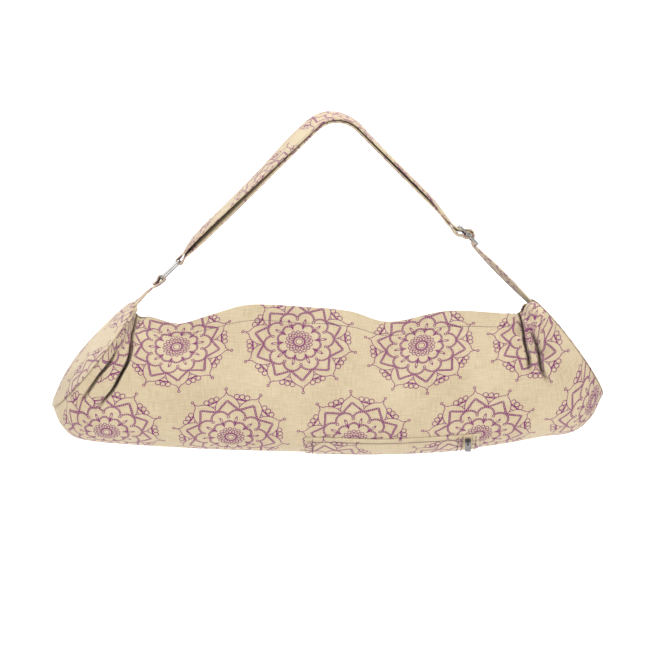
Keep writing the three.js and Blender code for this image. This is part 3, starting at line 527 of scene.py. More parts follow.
def fold_columns(down):
    """Shares of the way along the tube at one height: close together in the folds, wide apart between."""
    near = np.array(END_COLUMNS) / BAG_LENGTH
    shares = [near]
    for fold, steps in zip(FOLDS, PLAIN_COLUMNS):
        at = fold_at(fold, down)
        plain = np.linspace(shares[-1][-1], at - MOUTH_SHARE, steps + 1)[1:-1]
        shares += [plain, at + FOLD_COLUMNS * MOUTH_SHARE]
    shares += [np.linspace(shares[-1][-1], 1 - near[-1], PLAIN_COLUMNS[-1] + 1)[1:-1], 1 - near[::-1]]
    return np.concatenate(shares)


def wrinkles(tube, share, girth):
    """How far the cloth stands out from its even form, in millimetres."""
    x = share * BAG_LENGTH
    v = np.minimum(girth, 2 - girth) * tube.half_girth
    side = np.where(girth <= 1, 0.0, 300.0)
    place = np.stack([x, v, side], axis=-1)
    soft = 1.5 * ripple(place, 95, 3.1) + 0.7 * ripple(place * [1, 0.5, 1], 34, 8.4)
    pulled = np.zeros_like(x)
    for tip, seed in ((0.0, 1.0), (BAG_LENGTH, 5.0)):
        across, below = np.abs(x - tip), v + 8
        reach = np.hypot(across, below)
        fan = np.stack([np.arctan2(below, across) * 9, reach / 90, side], axis=-1)
        pulled += 2.6 * ripple(fan, 1.0, seed) * np.exp(-(((reach - 55) / 60) ** 2))
    crumpled = np.zeros_like(x)
    for at, below, wide, tall, height, size in CRUMPLES:
        near = np.exp(-(((x - at * BAG_LENGTH) / wide) ** 2) - ((v - below) / tall) ** 2)
        crumpled += near * height * (ripple(place, size, 7.7) * 1.6 + 0.1)
    lobes = np.zeros_like(x)
    for at, below, wide, tall, height in LOBES:
        lobes += height * np.exp(-(((x - at) / wide) ** 2) - ((v - below) / tall) ** 2)
    free = smooth(np.minimum(x, BAG_LENGTH - x) / 16)
    edge = np.clip(1 - np.minimum(x, BAG_LENGTH - x) / 3.2, 0, 1)
    stitched = np.exp(-(((v - STITCH_AT) / 1.3) ** 2))
    calm = 1 - 0.8 * smooth((v - 165) / 45)
    hanging = (soft + pulled) * smooth((v + 14) / 30) * calm + crumpled + lobes
    tuck = np.where(x < BAG_LENGTH / 2, 1.2, 0.5)
    return hanging * free - tuck * edge**2 - 0.7 * stitched


def cloth_point(tube, share, girth):
    """Points of the tube's outer face, with its wrinkles."""
    share, girth = np.broadcast_arrays(np.asarray(share, float), np.asarray(girth, float))
    point = tube.folded(share, girth)
    _, centre, _, _ = tube.plain(share, girth)
    return point - unit(centre - point) * wrinkles(tube, share, girth)[..., None]


def cloth_surface(tube, share, girth):
    """Points of the tube's outer face and its outward directions."""
    share, girth = np.broadcast_arrays(np.asarray(share, float), np.asarray(girth, float))
    step, turn = 0.6 / BAG_LENGTH, 0.6 / tube.half_girth
    right = cloth_point(tube, share + step, girth) - cloth_point(tube, share - step, girth)
    lower, upper = np.clip(girth + turn, 0, 2), np.clip(girth - turn, 0, 2)
    down = cloth_point(tube, share, lower) - cloth_point(tube, share, upper)
    return cloth_point(tube, share, girth), unit(np.cross(down, right))


def make_bag_cloth():
    """The tube of printed canvas, open along its top, with a hem along the open edge."""
    tube = Tube()
    hem = mm(settings().canvas.hem_depth)
    thick, thin = mm(settings().canvas.hem_cloth), mm(settings().canvas.cloth)
    plain = np.linspace(HEM_ROWS[-1], tube.half_girth, PLAIN_ROWS + 1)[1:]
    half = np.concatenate([HEM_ROWS, plain])
    lengths = np.concatenate([half, 2 * tube.half_girth - half[-2::-1]])
    girths = lengths / tube.half_girth
    shares = []
    for girth in girths:
        _, _, down, _ = tube.plain(0.5, girth)
        shares.append(fold_columns(float(down)))
    shares = np.array(shares)
    outer = cloth_point(tube, shares, girths[:, None])
    outward = outward_of(outer)
    for column, share in ((0, 0.0), (-1, 1.0)):
        facing = tube.section(share)["facing"]
        rim = outward[:, column]
        outward[:, column] = unit(rim - (rim @ facing)[:, None] * facing)
    from_edge = np.minimum(lengths, 2 * tube.half_girth - lengths)
    thickness = np.where(from_edge < hem - 0.5, thick, thin)
    inner = outer - outward * thickness[:, None, None]
    steps = np.linalg.norm(np.diff(outer, axis=1), axis=-1)
    even, _, _, _ = tube.plain(shares, girths[:, None])
    even_steps = np.linalg.norm(np.diff(even, axis=1), axis=-1)
    on_right = shares[:, 1:] > 0.5
    steps = np.where(on_right, even_steps + (steps - even_steps) * RIGHT_HIDDEN, steps)
    run = np.concatenate([np.zeros((len(girths), 1)), np.cumsum(steps, axis=1)], axis=1)
    for i, row in enumerate(run):
        row -= np.interp(EVEN_AT, shares[i], row)
    drop = curve_through(SECTIONS, "top_drop", shares) * BAG_HEIGHT * PRINT_FOLLOWS
    upper = smooth((tube.half_girth - from_edge) / (0.8 * tube.half_girth))
    facing_front = np.where(lengths < tube.half_girth, 1.0, -1.0)
    down_cloth = lengths[:, None] + drop * (upper * facing_front)[:, None]
    cloth_map = np.stack([run, down_cloth], axis=-1)
    turned = cloth_map.copy()
    hemmed = from_edge < hem + 2
    front = lengths < tube.half_girth
    turned[hemmed & front, :, 1] *= -1
    turned[hemmed & ~front, :, 1] = 4 * tube.half_girth - turned[hemmed & ~front, :, 1]
    obj = cloth_wall("bag_cloth", outer, inner, cloth_map, turned, printed_inside=from_edge < hem - 0.5)
    finish_piece(obj, ["body_panel"], [printed_canvas("bag", BAG_PHASE), bare_canvas()])
    girth = 2 * tube.half_girth * MM
    return obj


# The round ends

END_RINGS = 30


def make_round_end(name, node, share, direction, bulge, phase):
    """A round end: a disc of canvas, domed by what fills the bag, sewn to the tube round its rim."""
    tube = Tube()
    s = tube.section(share)
    out = s["facing"] * direction
    girths = np.linspace(0, 2, 141)
    rim, _, _, _ = tube.plain(share, girths)
    up = unit(s["top"] - s["low"])
    crown = END_WIDTH / 2 - math.sqrt((END_WIDTH / 2) ** 2 - half_mouth() ** 2)
    t = np.linspace(0, 1, 14)[1:-1, None]
    across = rim[-1] + (rim[0] - rim[-1]) * t + up * crown * 4 * t * (1 - t)
    rim = np.concatenate([rim, across])
    centre = lerp(s["top"], s["low"], BULGE_AT)
    side = np.array([0.0, 1.0, 0.0]) - out * out[1]
    thin = mm(settings().canvas.cloth)
    ring_shares = 1 - (1 - np.linspace(0, 1, END_RINGS + 1)[1:]) ** 1.15
    faces, points = [], []

    def layer(height, tuck):
        rings = []
        for r in ring_shares:
            flat_ring = centre + (rim - centre) * r
            local = np.stack([flat_ring @ side, flat_ring @ up, np.full(len(rim), share * 90)], axis=-1)
            to_rim = (1 - r) * END_WIDTH / 2
            stand = height + bulge * (1 - r**BULGE_FORM)
            stand = stand + 1.1 * ripple(local, 42, 2.0) * smooth(to_rim / 18)
            stand = stand - tuck * max(0.0, 1 - to_rim / 3.0) ** 2
            rings.append(flat_ring + out * np.reshape(stand, (-1, 1)))
        return rings

    count = len(rim)
    layers = [layer(SEAM_GAP + thin, 0.8), layer(SEAM_GAP, 0)]
    for rings, height in zip(layers, (SEAM_GAP + thin, SEAM_GAP)):
        points.append(centre + out * (height + bulge))
        points += [p for ring in rings for p in ring]
    middle_rim = (layers[0][-1] + layers[1][-1]) / 2 + unit(rim - centre) * thin * 0.35
    points += list(middle_rim)
    points = np.array(points)
    local = points - centre
    maps = np.stack([local @ side + phase[0], -(local @ up) + phase[1]], axis=-1)
    block = 1 + END_RINGS * count
    extra = 2 * block
    for k in range(count):
        n = (k + 1) % count
        for base, flip in ((0, False), (block, True)):
            quads = [(base, base + 1 + k, base + 1 + n)]
            for r in range(END_RINGS - 1):
                a, b = base + 1 + r * count, base + 1 + (r + 1) * count
                quads.append((a + k, b + k, b + n, a + n))
            faces += [q[::-1] if flip else q for q in quads]
        a, b = 1 + (END_RINGS - 1) * count, block + 1 + (END_RINGS - 1) * count
        faces.append((a + k, extra + k, extra + n, a + n))
        faces.append((extra + k, b + k, b + n, extra + n))
    if direction < 0:
        faces = [f[::-1] for f in faces]
    obj = mesh_object(name, points, faces, maps)
    finish_piece(obj, [node], [printed_canvas(name, (0.0, 0.0))])
    return obj


# The straps


class PullLine:
    """The strap's line of pull in the plane y = 0: an arm from each seam to the bend over the peg."""

    def __init__(self, tube):
        self.layer = mm(settings().metal.strap_thickness) + STRAP_CLEARANCE
        self.thick = mm(settings().metal.strap_thickness)
        self.tips = {"left": tube.section(0.0), "right": tube.section(1.0)}
        self.radius = PEG_RADIUS + self.thick / 2 + self.layer / 2
        self.centre = Vector((0, -PEG_RADIUS))
        self.left = self.sewn_point("left", STRAP_SEAM)
        self.right = self.sewn_point("right", STRAP_SEAM)
        self.left_touch, self.right_touch = self.touch(self.left, -1), self.touch(self.right, 1)
        self.left_arm = (self.left_touch - self.left).length
        self.right_arm = (self.right_touch - self.right).length
        self.bend_from = math.atan2(*(self.left_touch - self.centre).yx)
        bend_to = math.atan2(*(self.right_touch - self.centre).yx)
        self.bend = (self.bend_from - bend_to) * self.radius
        self.length = self.left_arm + self.bend + self.right_arm

    def sewn_point(self, end, below):
        """The middle of a strap that lies on a round end's inner face, at a distance below its tip."""
        s = self.tips[end]
        direction, bulge = {"left": (-1, LEFT_BULGE), "right": (1, RIGHT_BULGE)}[end]
        top, low, normal = (Vector(s[k][[0, 2]]) for k in ("top", "low", "normal"))
        share = 1 - below / (BULGE_AT * (low - top).length)
        out = bulge * (1 - share**BULGE_FORM) - SEWN_CLEARANCE - self.thick / 2
        return top + (low - top).normalized() * below + normal * direction * out

    def touch(self, seam, side):
        to_seam = seam - self.centre
        angle = math.atan2(to_seam.y, to_seam.x) + side * math.acos(self.radius / to_seam.length)
        return self.centre + Vector((math.cos(angle), math.sin(angle))) * self.radius

    def place(self, distance):
        """A place on the line: its point, its direction towards the right seam and its outward one."""
        if distance <= self.left_arm:
            ahead = (self.left_touch - self.left).normalized()
            point = self.left + ahead * distance
        elif distance < self.left_arm + self.bend:
            angle = self.bend_from - (distance - self.left_arm) / self.radius
            out = Vector((math.cos(angle), math.sin(angle)))
            ahead = Vector((out.y, -out.x))
            point = self.centre + out * self.radius
        else:
            ahead = (self.right - self.right_touch).normalized()
            point = self.right_touch + ahead * (distance - self.left_arm - self.bend)
        return point, ahead, Vector((-ahead.y, ahead.x))

    def over(self, distance, height, roll=0.0):
        """A point at a distance along the line and a height over it, with the band's roll there."""
        point, _, out = self.place(distance)
        return (*(point + out * height), roll)

    def round_bar(self, distance, height, radius, start, end, steps):
        """Points round a bar from one angle to another, counted from the line's direction."""
        angles = [math.radians(lerp(start, end, k / steps)) for k in range(steps + 1)]
        return [
            self.over(distance + radius * math.cos(a), height + radius * math.sin(a)) for a in angles
        ]

    def sewn_end(self, end, roll):
        return [(*self.sewn_point(end, STRAP_SEAM + STRAP_SEWN * share), roll) for share in (1, 0.5, 0.08)]

    def matrix(self, distance, height):
        """The frame of a piece of metal on the line: x along it, y to the back, z outwards."""
        point, ahead, out = self.place(distance)
        at = point + out * height
        return Matrix(
            (
                (ahead.x, 0, out.x, at.x * MM),
                (0, 1, 0, 0),
                (ahead.y, 0, out.y, at.y * MM),
                (0, 0, 0, 1),
            )
        )


def seam_roll(section, direction):
    return -direction * math.degrees(math.atan(section["turn"]))


def hardware_places(line):
    """Where the ring and the slider stand on the line, and how the strap turns round their bars."""
    wire = mm(settings().metal.wire)
    return {
        "ring": TAB_LENGTH,
        "ring_bar": RING_LENGTH / 2 - wire / 2,
        "ring_turn": wire / 2 + STRAP_CLEARANCE + line.thick / 2,
        "slider": line.length - SLIDER_DISTANCE,
        "slider_bar": SLIDER_LENGTH / 2 - SLIDER_BAR / 2,
        "slider_turn": math.hypot(SLIDER_BAR, SLIDER_PLATE) / 2 + STRAP_CLEARANCE + line.thick / 2,
    }


SETTLE = 0.12
INNER_SETTLE = 0.06
INNER_END = -1.4  # layers that the inner one lies below the outer one at the slider
LAYER_STEPS = 44


def layer_path(line, layer):
    """One layer of the doubled strap, from the ring to the slider. layer is 1 outside and -1 inside."""
    at = hardware_places(line)
    start, end = at["ring"] + at["ring_bar"], at["slider"] - at["slider_bar"]
    half_width = mm(settings().metal.strap_width) / 2
    points = []
    for k in range(1, LAYER_STEPS):
        share = k / LAYER_STEPS
        columns = ("outer_roll", "inner_roll", "slack")
        outer, inner, slack = (float(curve_through(LAYERS, name, share)) for name in columns)
        lean = abs(math.sin(math.radians(outer)) - math.sin(math.radians(inner))) / 2
        half = line.layer / 2 + lean * half_width + max(slack, 0) * line.thick / 2
        rise = math.sin(math.radians((outer + inner) / 2)) * half_width
        settle = SETTLE if layer > 0 else INNER_SETTLE
        near = float(smooth((share - (1 - settle)) / settle))
        height = lerp(layer * half + rise, 0 if layer > 0 else INNER_END * line.layer, near)
        distance = lerp(start, end - line.thick, share)
        points.append(line.over(distance, height, outer if layer > 0 else inner))
    return points


SINGLE_STEPS = [0.06, 0.15, 0.3, 0.5, 0.7, 0.85, 1]
TURN_AWAY = 0.4
TURN_BACK = 0.3
BUMP_STEPS = 14
SLIDER_APPROACH = [(1, INNER_END), (0.55, -1.3), (0.25, -0.18)]
SLIDER_END = (0.45, -0.5)


def strap_path(line):
    """The strap from the right seam over the slider, round the ring and back to the slider's bar."""
    at = hardware_places(line)
    roll = seam_roll(line.tips["right"], 1)
    points = line.sewn_end("right", -roll)
    single = SLIDER_DISTANCE - SLIDER_LENGTH / 2
    for share in SINGLE_STEPS:
        away = lerp(roll, SINGLE_ROLL, float(smooth((share - SINGLE_STEPS[0]) / TURN_AWAY)))
        turned = away * float(smooth((1 - share) / TURN_BACK))
        points.append(line.over(line.length - single * share, 0, -turned))
    lift = at["slider_turn"] + STRAP_CLEARANCE
    bump = lift + at["slider_turn"] + line.layer + STRAP_CLEARANCE
    for k in range(BUMP_STEPS + 1):
        t = 1 - 2 * k / BUMP_STEPS
        height = bump * (1 + math.cos(math.pi * t)) / 2
        points.append(line.over(at["slider"] + t * at["slider_bar"], height))
    points += [(x, z, -r) for x, z, r in reversed(layer_path(line, 1))]
    points += line.round_bar(at["ring"] + at["ring_bar"], 0, at["ring_turn"], 90, 270, 10)
    points += layer_path(line, -1)
    for share, layers in SLIDER_APPROACH:
        points.append(line.over(at["slider"] - at["slider_bar"] * share, layers * line.layer))
    points += line.round_bar(at["slider"], lift, at["slider_turn"], -80, 140, 12)
    share, layers = SLIDER_END
    points.append(line.over(at["slider"] - at["slider_bar"] * share, lift + layers * line.layer))
    return points


TAB_STEPS = [0.1, 0.3, 0.6, 1]
TAB_UNTURNS = 0.6
TAB_APPROACH = (0.5, -0.7)
TAB_RETURN = [(0.64, -0.55), (0.35, -0.3)]


def tab_path(line):
    """The short strap from the left tip, looped round the ring's lower bar and sewn to itself."""
    at = hardware_places(line)
    roll = seam_roll(line.tips["left"], -1)
    points = line.sewn_end("left", roll)
    lower = at["ring"] - at["ring_bar"]
    double = lower - LOOP_SEWN
    for share in TAB_STEPS:
        turned = roll * (1 - TAB_UNTURNS * float(smooth(share)))
        points.append(line.over(double * share, 0, turned))
    share, turns = TAB_APPROACH
    points.append(line.over(lerp(double, lower, share), turns * at["ring_turn"]))
    points += line.round_bar(lower, 0, at["ring_turn"], -80, 110, 10)
    for share, turns in TAB_RETURN:
        points.append(line.over(lerp(double, lower, share), line.layer + turns * at["ring_turn"]))
    return points


def smooth_path(points, pitch):
    """The same path as a smooth curve through its points, with a point every so many millimetres."""
    p = np.array(points)
    gaps = np.linalg.norm(np.diff(p[:, :2], axis=0), axis=1)
    keep = np.concatenate([[True], gaps > 0.05])
    p = p[keep]
    chord = np.sqrt(np.maximum(np.linalg.norm(np.diff(p[:, :2], axis=0), axis=1), 1e-6))
    at = np.concatenate([[0], np.cumsum(chord)])
    slopes = np.gradient(p, at, axis=0)
    fine = []
    for i in range(len(p) - 1):
        steps = max(2, int(np.linalg.norm(p[i + 1, :2] - p[i, :2]) / 0.4))
        t = np.linspace(0, 1, steps, endpoint=False)[:, None]
        h = at[i + 1] - at[i]
        a, b, u, v = p[i], p[i + 1], slopes[i] * h, slopes[i + 1] * h
        fine.append(a + t * (u + t * (3 * (b - a) - 2 * u - v + t * (2 * (a - b) + u + v))))
    fine = np.concatenate([*fine, p[-1:]])
    run = np.concatenate([[0], np.cumsum(np.linalg.norm(np.diff(fine[:, :2], axis=0), axis=1))])
    even = np.linspace(0, run[-1], int(run[-1] / pitch) + 1)
    return np.stack([np.interp(even, run, fine[:, k]) for k in range(3)], axis=1), even


def band_frames(path):
    """Points of a band's middle line with its directions: ahead, to its front edge, and off its face."""
    ahead = unit(np.gradient(path[:, :2], axis=0))
    out = np.stack([-ahead[:, 1], np.zeros(len(path)), ahead[:, 0]], axis=1)
    roll = np.radians(path[:, 2])[:, None]
    back = np.array([0.0, 1.0, 0.0])
    front = -back * np.cos(roll) - out * np.sin(roll)
    face = out * np.cos(roll) - back * np.sin(roll)
    middle = np.stack([path[:, 0], np.zeros(len(path)), path[:, 1]], axis=1)
    return middle, front, face


EDGE_STITCH = 2.6
STITCHES_FROM = 14  # millimetres from a band's sewn end
BAND_PITCH = 2.0


def band_profile(width, thickness):
    """A folded band's section: round edges, and a groove along each row of stitches."""
    half, deep = width / 2, thickness / 2
    groove = half - EDGE_STITCH
    top = [(half, 0.0), (half - 0.25, 0.62), (half - 0.9, 0.96), (groove + 0.7, 1.0), (groove, 0.74)]
    top += [(groove - 0.8, 0.97), (groove - 3, 1.0), (groove * 0.4, 0.96), (0.0, 0.94)]
    top += [(-x, z) for x, z in top[-2::-1]]
    ring = top + [(x, -z) for x, z in top[-2:0:-1]]
    return np.array([(x, z * deep) for x, z in ring])


def make_band(name, node, path, phase):
    """A strap of folded canvas along a path."""
    width, thickness = mm(settings().metal.strap_width), mm(settings().metal.strap_thickness)
    fine, run = smooth_path(path, BAND_PITCH)
    middle, front, face = band_frames(fine)
    profile = band_profile(width, thickness)
    place = np.stack([run, np.zeros_like(run), np.zeros_like(run)], axis=1)
    narrow = 1 + 0.006 * ripple(place, 26, 4.0)
    rings = [m + f * (profile[:, :1] * n) + up * profile[:, 1:] for m, f, n, up in zip(middle, front, narrow, face)]
    points = np.concatenate(rings)
    count = len(profile)
    around = np.concatenate([profile, profile[:1]])
    across = np.concatenate([[0], np.cumsum(np.linalg.norm(np.diff(around, axis=0), axis=1))])
    faces, maps = [], []
    for r in range(len(fine) - 1):
        for k in range(count):
            n = (k + 1) % count
            a, b = r * count, (r + 1) * count
            faces.append((a + k, a + n, b + n, b + k))
            for c, row in ((k, r), (k + 1, r), (k + 1, r + 1), (k, r + 1)):
                maps.append((across[c] + phase[0], run[row] + phase[1]))
    for row, turned in ((0, True), (len(fine) - 1, False)):
        order = range(count)[::-1] if turned else range(count)
        faces.append([row * count + k for k in order])
        maps += [(across[k] + phase[0], run[row] + phase[1]) for k in order]
    obj = mesh_object(name, points, faces, maps)
    recalculate(obj)
    finish_piece(obj, [node], [printed_canvas(name, (0.0, 0.0))])
    return obj


def recalculate(obj):
    """Makes a closed mesh's faces point outwards."""
    select_only(obj)
    bpy.ops.object.mode_set(mode="EDIT")
    bpy.ops.mesh.select_all(action="SELECT")
    bpy.ops.mesh.normals_make_consistent(inside=False)
    bpy.ops.object.mode_set(mode="OBJECT")


# The steel ring and slider


def select_where(obj, kind, test):
    """In edit mode, selects the vertices, edges or faces whose middle passes a test."""
    bpy.ops.object.mode_set(mode="EDIT")
    bpy.ops.mesh.select_all(action="DESELECT")
    bpy.ops.mesh.select_mode(type=kind)
    bpy.ops.object.mode_set(mode="OBJECT")
    mesh = obj.data
    if kind == "VERT":
        for v in mesh.vertices:
            v.select = test(v.co)
    elif kind == "EDGE":
        for e in mesh.edges:
            a, b = (mesh.vertices[i].co for i in e.vertices)
            e.select = test((a + b) / 2)
    else:
        for f in mesh.polygons:
            f.select = test(f.center)
    bpy.ops.object.mode_set(mode="EDIT")


def plane_at(name, length, width):
    """A flat rectangle, in metres, in the plane z = 0."""
    bpy.ops.object.select_all(action="DESELECT")
    bpy.ops.mesh.primitive_plane_add(size=1)
    obj = bpy.context.object
    obj.name = obj.data.name = name
    obj.scale = (length, width, 1)
    bpy.ops.object.transform_apply(scale=True)
    return obj


def apply_modifier(obj, kind, **values):
    """Adds a modifier, sets it and applies it."""
    select_only(obj)
    modifier = obj.modifiers.new(kind.title(), kind)
    for key, value in values.items():
        setattr(modifier, key, value)
    bpy.ops.object.modifier_apply(modifier=modifier.name)


def put_in_place(obj, matrix):
    """Moves a finished shape to its place, which is kept in its mesh."""
    select_only(obj)
    obj.matrix_world = matrix
    bpy.ops.object.transform_apply(location=True, rotation=True, scale=True)


def bent_wire(name, length, width, corner, wire):
    """A closed loop of round wire, bent to a rectangle with rounded corners."""
    obj = plane_at(name, length, width)
    bpy.ops.object.mode_set(mode="EDIT")
    bpy.ops.mesh.select_all(action="SELECT")
    bpy.ops.mesh.bevel(offset=corner, segments=8, affect="VERTICES")
    bpy.ops.mesh.select_all(action="SELECT")
    bpy.ops.mesh.delete(type="ONLY_FACE")
    bpy.ops.object.mode_set(mode="OBJECT")
    bpy.ops.object.convert(target="CURVE")
    curve = bpy.context.object
    curve.data.bevel_depth = wire / 2
    curve.data.bevel_resolution = 4
    bpy.ops.object.convert(target="MESH")
    obj = bpy.context.object
    recalculate(obj)
    bpy.ops.object.shade_smooth()
    return obj


def slotted_plate(name, length, width, bar, side, thickness, corner):
    """A flat plate with a middle bar and a window on each side of it."""
    obj = plane_at(name, length, width)
    cuts = [((x, 0, 0), (1, 0, 0)) for x in (-length / 2 + bar, -bar / 2, bar / 2, length / 2 - bar)]
    cuts += [((0, y, 0), (0, 1, 0)) for y in (-width / 2 + side, width / 2 - side)]
    for place, normal in cuts:
        bpy.ops.object.mode_set(mode="EDIT")
        bpy.ops.mesh.select_all(action="SELECT")
        bpy.ops.mesh.bisect(plane_co=place, plane_no=normal)
        bpy.ops.object.mode_set(mode="OBJECT")
    inside = width / 2 - side
    window = (bar / 2 + length / 2 - bar) / 2
    select_where(obj, "FACE", lambda c: abs(abs(c.x) - window) < 0.2 * length and abs(c.y) < inside
                 and bar / 2 < abs(c.x) < length / 2 - bar)
    bpy.ops.mesh.delete(type="FACE")
    near = 0.0001
    select_where(obj, "VERT", lambda c: abs(c.x) > length / 2 - near and abs(c.y) > width / 2 - near)
    bpy.ops.mesh.bevel(offset=corner, segments=6, affect="VERTICES")
    bpy.ops.object.mode_set(mode="OBJECT")
    apply_modifier(obj, "SOLIDIFY", thickness=thickness, offset=0)
    apply_modifier(obj, "BEVEL", width=thickness * 0.3, segments=3, limit_method="ANGLE")
    recalculate(obj)
    bpy.ops.object.mode_set(mode="OBJECT")
    bpy.ops.object.shade_smooth_by_angle(angle=math.radians(40))
    return obj


# Stitches

STITCH_SIDES = 6
STITCH_PITCH = 3.1  # millimetres, as are the next three
STITCH_LENGTH = 2.4
SEWING_THREAD = 0.42
STRAP_THREAD = 0.2  # flat enough to pass between the band and the ring
STITCH_FORM = [(-0.5, 0.35), (-0.42, 0.85), (-0.2, 1.0), (0.2, 1.0), (0.42, 0.85), (0.5, 0.35)]


def make_stitches(name, rows, radius=SEWING_THREAD):
    """Rows of stitches. Each row is given by its points and the outward direction at each of them."""
    points, faces = [], []
    for line, outward in rows:
        line, outward = np.asarray(line, float), np.asarray(outward, float)
        run = np.concatenate([[0], np.cumsum(np.linalg.norm(np.diff(line, axis=0), axis=1))])
        for start in np.arange(STITCH_PITCH / 2, run[-1] - STITCH_PITCH / 2, STITCH_PITCH):
            def at(d, values):
                return np.array([np.interp(d, run, values[:, k]) for k in range(3)])
            a, b = at(start - STITCH_LENGTH / 2, line), at(start + STITCH_LENGTH / 2, line)
            out = unit(at(start, outward))
            ahead = unit(b - a)
            aside = unit(np.cross(out, ahead))
            out = np.cross(ahead, aside)
            base = len(points)
            middle = (a + b) / 2
            for share, size in STITCH_FORM:
                sink = -1.1 * radius * (2 * share) ** 4
                centre = middle + ahead * share * STITCH_LENGTH + out * (0.35 * radius + sink)
                for k in range(STITCH_SIDES):
                    angle = 2 * math.pi * k / STITCH_SIDES
                    points.append(centre + (aside * math.cos(angle) + out * math.sin(angle)) * radius * size)
            rings = len(STITCH_FORM)
            for r in range(rings - 1):
                for k in range(STITCH_SIDES):
                    n = (k + 1) % STITCH_SIDES
                    p, q = base + r * STITCH_SIDES, base + (r + 1) * STITCH_SIDES
                    faces.append((p + k, q + k, q + n, p + n))
            faces.append(tuple(base + k for k in range(STITCH_SIDES)))
            end = base + (rings - 1) * STITCH_SIDES
            faces.append(tuple(end + k for k in range(STITCH_SIDES - 1, -1, -1)))
    obj = mesh_object(name, points, faces)
    recalculate(obj)
    return finish_piece(obj, (), [thread()])


def band_rows(path):
    """The two rows of stitches along a band's edges, on both of its faces."""
    width, thickness = mm(settings().metal.strap_width), mm(settings().metal.strap_thickness)
    fine, run = smooth_path(path, BAND_PITCH)
    middle, front, face = band_frames(fine)
    picked = run >= STITCHES_FROM
    rows = []
    for side in (-1, 1):
        for up in (-1, 1):
            line = middle + front * side * (width / 2 - EDGE_STITCH) + face * up * (thickness / 2 * 0.74)
            rows.append((line[picked], (face * up)[picked]))
    return rows


# The pocket

PATCH_ROWS = 46
POCKET_PHASE = (-72.0, 66.0)  # moves the pocket's print, in millimetres


def share_at_x(tube, x, girth):
    """The share of the way along the tube at which a height's cloth reaches a place along the bag."""
    shares = np.linspace(0.2, 0.85, 400)
    point, _, _, _ = tube.plain(shares, girth)
    return np.interp(x, point[:, 0], shares)


def patch_surface(tube, xs, lengths):
    """Points of the belly under a patch, and the outward directions there."""
    girths = np.asarray(lengths) / tube.half_girth
    shares = np.array([share_at_x(tube, xs, g) for g in girths])
    return cloth_surface(tube, shares, girths[:, None])


def make_patch(name, node, start, end, columns, thickness, puff, phase, grooves=(), material=None):
    """A patch of cloth on the belly, with round edges and a groove along each row of its stitches."""
    tube = Tube()
    rows = PATCH_ROWS
    t = np.linspace(0, 1, rows + 1)
    s = np.linspace(0, 1, columns + 1)
    lengths = POCKET_TOP + POCKET_HEIGHT * t
    xs = lerp(start, end, s)
    base, outward = patch_surface(tube, xs, lengths)
    crown = np.sin(math.pi * t)[:, None] * np.sin(math.pi * s)[None, :]
    rise = puff * np.clip(crown, 0, 1) ** PUFF_FORM
    down, across = np.meshgrid(lengths - POCKET_TOP, xs, indexing="ij")
    dip = np.zeros_like(rise)
    for kind, at in grooves:
        off = (across if kind == "x" else down) - at
        dip += 0.55 * np.exp(-((off / 1.1) ** 2))
    place = np.stack([across, down, np.zeros_like(down)], axis=-1)
    rise = rise + 0.25 * puff * ripple(place, 30, 6.0) - dip
    outer = base + outward * (POCKET_LIFT * 0.4 + thickness + rise)[..., None]
    inner = base + outward * (0.12 + 0.6 * np.maximum(rise, 0))[..., None]
    cloth_map = np.stack([across + phase[0], down + phase[1]], axis=-1)
    obj = cloth_wall(name, outer, inner, cloth_map, cloth_map)
    finish_piece(obj, [node], [material or printed_canvas(name, (0.0, 0.0))])
    return obj


def surface_line(tube, xs, lengths, lift):
    """A line of points over the belly, with their outward directions."""
    xs, lengths = np.broadcast_arrays(np.asarray(xs, float), np.asarray(lengths, float))
    girths = lengths / tube.half_girth
    shares = np.array([float(share_at_x(tube, x, g)) for x, g in zip(xs, girths)])
    point, out = cloth_surface(tube, shares, girths)
    return point + out * lift, out


TOOTH = (2.6, 1.2, 1.1)  # across the tape, along it and its height, in millimetres
TEETH_PITCH = 2.0
TEETH_FROM = 14
TEETH_APART = 0.9


def make_zip_teeth(middle):
    """The zip's teeth: one bevelled tooth, copied turn about along the tape and joined."""
    bpy.ops.mesh.primitive_cube_add(size=1)
    tooth = bpy.context.object
    for vertex in tooth.data.vertices:
        vertex.co = [c * size for c, size in zip(vertex.co, TOOTH)]
    apply_modifier(tooth, "BEVEL", width=0.3, segments=2)
    corners = np.array([vertex.co[:] for vertex in tooth.data.vertices])
    sides = [tuple(face.vertices) for face in tooth.data.polygons]
    mesh = tooth.data
    bpy.data.objects.remove(tooth)
    bpy.data.meshes.remove(mesh)
    lengths = np.arange(POCKET_TOP + TEETH_FROM, POCKET_TOP + POCKET_HEIGHT - 1, TEETH_PITCH / 2)
    line, out = surface_line(Tube(), middle, lengths, POCKET_LIFT * 0.4 + ZIP_THICKNESS + 0.35)
    ahead = unit(np.gradient(line, axis=0))
    aside = unit(np.cross(out, ahead))
    out = np.cross(ahead, aside)
    points, faces = [], []
    for k in range(len(lengths)):
        base = len(points)
        across = corners[:, 0] + (TEETH_APART if k % 2 else -TEETH_APART)
        turned = np.outer(across, aside[k]) + np.outer(corners[:, 1], ahead[k]) + np.outer(corners[:, 2], out[k])
        points.extend(line[k] + turned)
        faces.extend(tuple(base + i for i in side) for side in sides)
    obj = mesh_object("zip_teeth", points, faces)
    recalculate(obj)
    return finish_piece(obj, (), [zip_teeth_metal()])


# Materials


